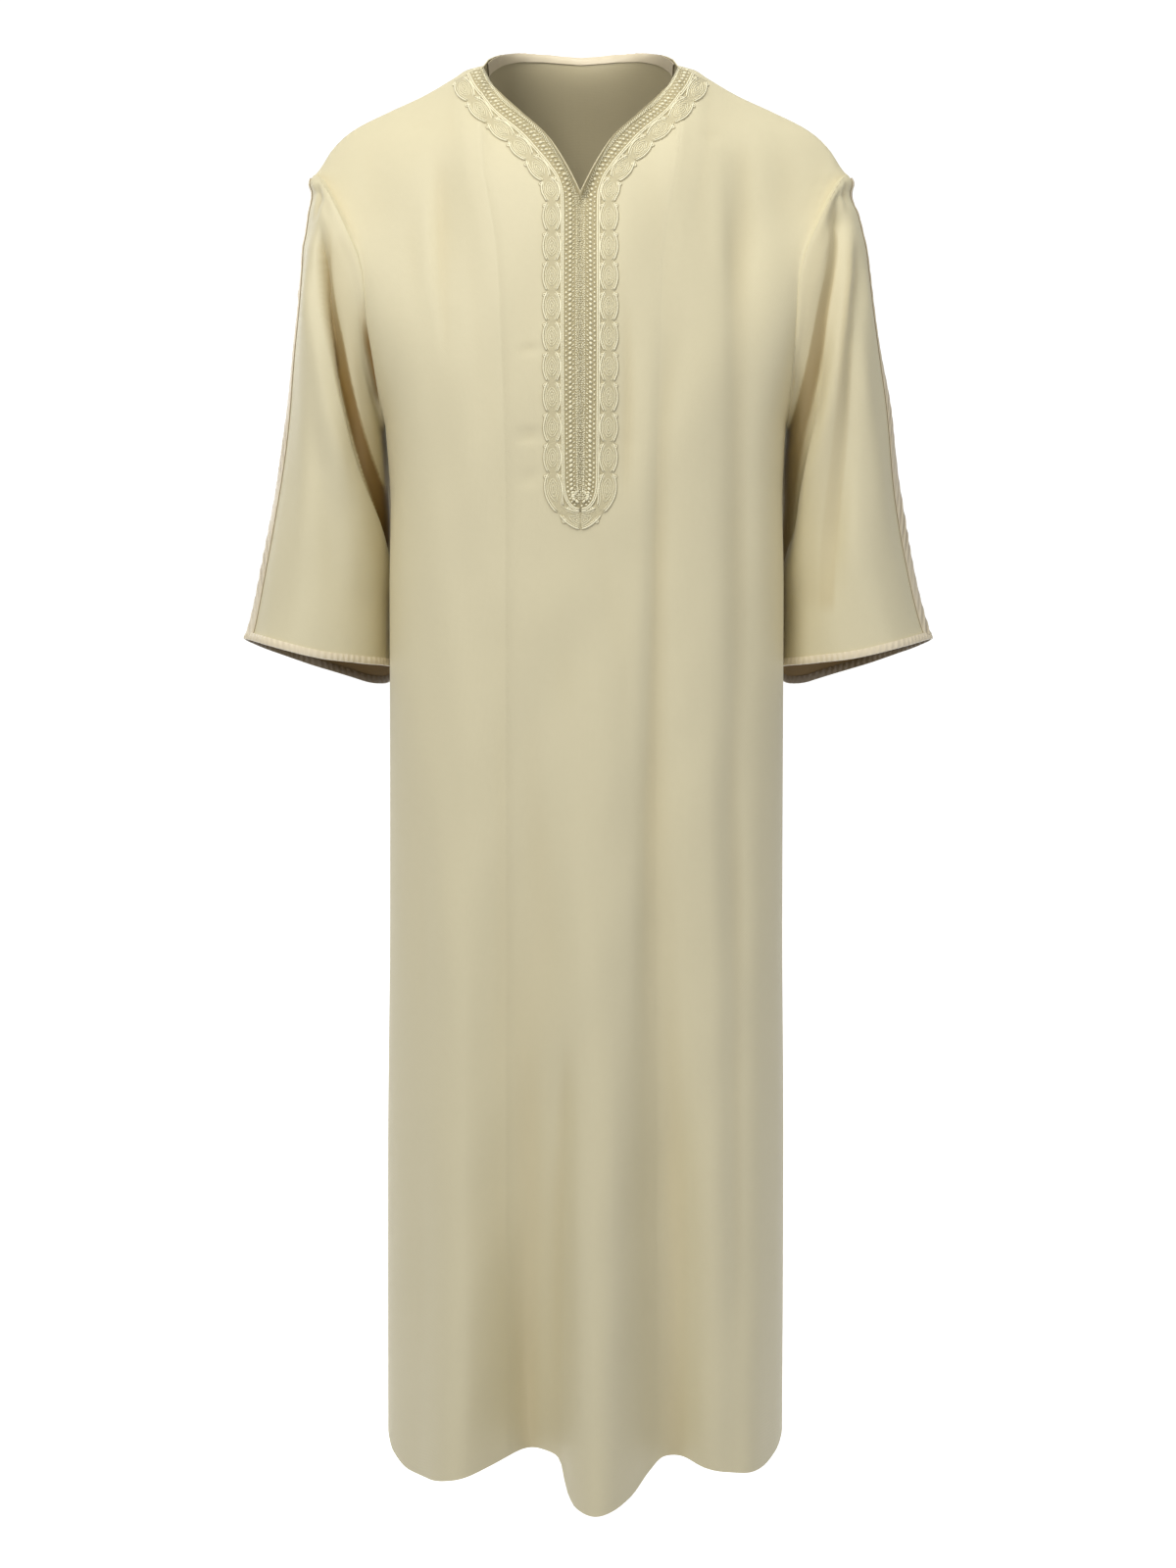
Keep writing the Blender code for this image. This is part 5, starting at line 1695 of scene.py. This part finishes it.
# the braid's ground is darker than the cloth: partly its stitching's own tone, partly painted shade between
# the cords and knots
braid_ground_finish = ground("braid_ground", (0.55, 0.48, 0.285), (0.43, 0.365, 0.20))
border_ground_finish = ground("border_ground", (0.675, 0.605, 0.39), (0.595, 0.525, 0.325))
for finish, pieces in (
    (satin_finish, [*tapes.values(), *bindings.values(), band]),
    (thread_finish, [*braids.values(), *borders.values()]),
    (braid_ground_finish, braid_grounds.values()),
    (border_ground_finish, border_grounds.values()),
):
    for piece in pieces:
        piece.data.materials.append(finish)

# %% [markdown]
# ## Studio
#
# The robe is lit as a catalogue would light it: one large soft light high on the left, weaker ones
# above, on the right and behind, and a white room around. The light from the left and above makes
# the shoulders brightest and lets the skirt fall away gently, and it draws each fold with a bright
# and a dark side.

# %% Camera, lights and floor
camera_data = bpy.data.cameras.new("camera")
camera_data.lens = 50.0
camera_data.sensor_width = 36.0
camera = placed("camera", camera_data)
camera.location = (0.0068, -2.072, -0.5046)
camera.rotation_euler = (math.radians(85.5), 0.0, 0.0)
bpy.context.scene.camera = camera


def area_light(name, place, aim, size, power, colour=(1.0, 1.0, 1.0)):
    """A rectangular light at a place, turned towards another."""
    light = bpy.data.lights.new(name, "AREA")
    light.shape = "RECTANGLE"
    light.size, light.size_y = size
    light.energy = power
    light.color = colour
    lamp = placed(name, light)
    lamp.location = place
    toward = np.array(aim) - np.array(place)
    tilt = math.acos(-toward[2] / np.linalg.norm(toward))
    spin = math.atan2(toward[0], -toward[1]) + math.pi
    lamp.rotation_euler = (tilt, 0.0, spin)


area_light("key", (-1.3, -2.0, 1.1), (0.0, -0.1, -0.3), (1.1, 1.1), 36.0, (1.0, 0.985, 0.95))
area_light("top", (0.1, -0.7, 1.25), (0.0, 0.0, -0.2), (1.1, 0.7), 11.0, (1.0, 1.0, 0.94))
area_light("fill", (1.9, -1.7, 0.1), (0.0, 0.0, -0.6), (1.6, 2.0), 9.0, (0.98, 0.98, 1.0))
area_light("back_left", (-1.6, 1.9, 0.6), (0.0, 0.0, -0.5), (1.4, 1.8), 16.0)

ROOM_LIGHT = 0.38  # strength of the white room as a light
ROOM_SEEN = 0.74  # what is added to it where the camera sees the room itself
world = bpy.data.worlds.new("studio_white")
world.use_nodes = True
bpy.context.scene.world = world
sky = world.node_tree
path = sky.nodes.new("ShaderNodeLightPath")
seen = sky.nodes.new("ShaderNodeMath")
seen.operation = "MULTIPLY_ADD"
seen.inputs[1].default_value = ROOM_SEEN
seen.inputs[2].default_value = ROOM_LIGHT
sky.links.new(path.outputs["Is Camera Ray"], seen.inputs[0])
sky.links.new(seen.outputs[0], sky.nodes["Background"].inputs["Strength"])
sky.nodes["Background"].inputs["Color"].default_value = (1.0, 1.0, 1.0, 1.0)
bpy.context.scene.view_settings.view_transform = "Standard"

FLOOR = -1.43  # level of the floor, in metres
FLOOR_REACH = 14.0
floor_mesh = bpy.data.meshes.new("floor")
corners = [(x * FLOOR_REACH, y * FLOOR_REACH, FLOOR) for x, y in ((-1, -1), (1, -1), (1, 1), (-1, 1))]
floor_mesh.from_pydata(corners, [], [(0, 1, 2, 3)])
floor = placed("floor", floor_mesh)
paper = {
    "Base Color": (0.9, 0.9, 0.9, 1.0),
    "Roughness": 0.9,
    "Emission Color": (1.0, 1.0, 1.0, 1.0),
    "Emission Strength": 0.95,
}
floor_mesh.materials.append(Finish("white_paper").finish(paper))
floor.visible_diffuse = False

# %% [markdown]
# ## What stands for what
#
# Each piece here takes the place of its CAD solid, which stays in the physics model. Everything is
# sewn together, so all of it rides on the one body. Every sheet of cloth also says what flat size it
# was cut to, worked out from its own rows and columns.

# %% Riding, replacing and the cut of the sheets
TAPE_CUT = (TAPE_WIDTH * MM, 0.44)  # width and length of a tape, in metres
BINDING_FOLD = 3  # what a binding's cut has besides its two faces, for the turn at the cuff


def cut_size(grid, ring=False):
    """Width and length of the cloth a grid is made of, and its area, in metres and square metres."""
    whole = np.concatenate([grid, grid[:, :1]], axis=1) if ring else grid
    width, length = lengths(whole, 1)[:, -1].max(), lengths(whole, 0)[-1].max()
    a, b = whole[1:, :-1] - whole[:-1, 1:], whole[1:, 1:] - whole[:-1, :-1]
    area = np.linalg.norm(np.cross(a, b), axis=-1).sum() / 2
    return (round(width * MM, 3), round(length * MM, 3)), round(area * MM * MM, 4)


def sew_on(piece, node, slot, flat=None, area=None, held="hung", rests_on=()):
    """Attaches a piece to the root, hides the solid it replaces and prints the cut of its cloth. The slot,
    held and rests_on arguments are not used.
    """
    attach(piece, "root")
    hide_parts(node)
    if flat:
        print(piece.name, "cut", flat, "m, area", area, "m2")


for side, node in ((-1, "front_panel"), (1, "back_panel")):
    sew_on(panel_cloth[side], node, "cloth", *cut_size(raised[side]))
for side, word in ((-1, "right"), (1, "left")):
    sew_on(sleeve_cloth[side], "sleeve_" + word, "cloth", *cut_size(sleeves[side], ring=True))
    under = ["sleeve_cloth_" + word]
    sew_on(tapes[side], "tape_" + word, "satin", TAPE_CUT, None, "laid", under)
    strip_cut = (round(float(binding_ways[side]) * MM, 3), round((2 * BINDING + BINDING_FOLD) * MM, 3))
    sew_on(bindings[side], "binding_" + word, "satin", strip_cut, None, "folded", under)
    sew_on(braid_grounds[side], "braid_" + word, "braid")
    sew_on(braids[side], "braid_" + word, "braid")
    sew_on(border_grounds[side], "scroll_" + word, "braid")
    sew_on(borders[side], "scroll_" + word, "braid")
band_cut = (round(float(band_length) * MM, 3), (BAND + BAND_TURNED) * MM)
sew_on(band, "neck_band", "satin", band_cut, None, "laid", ["back_cloth"])
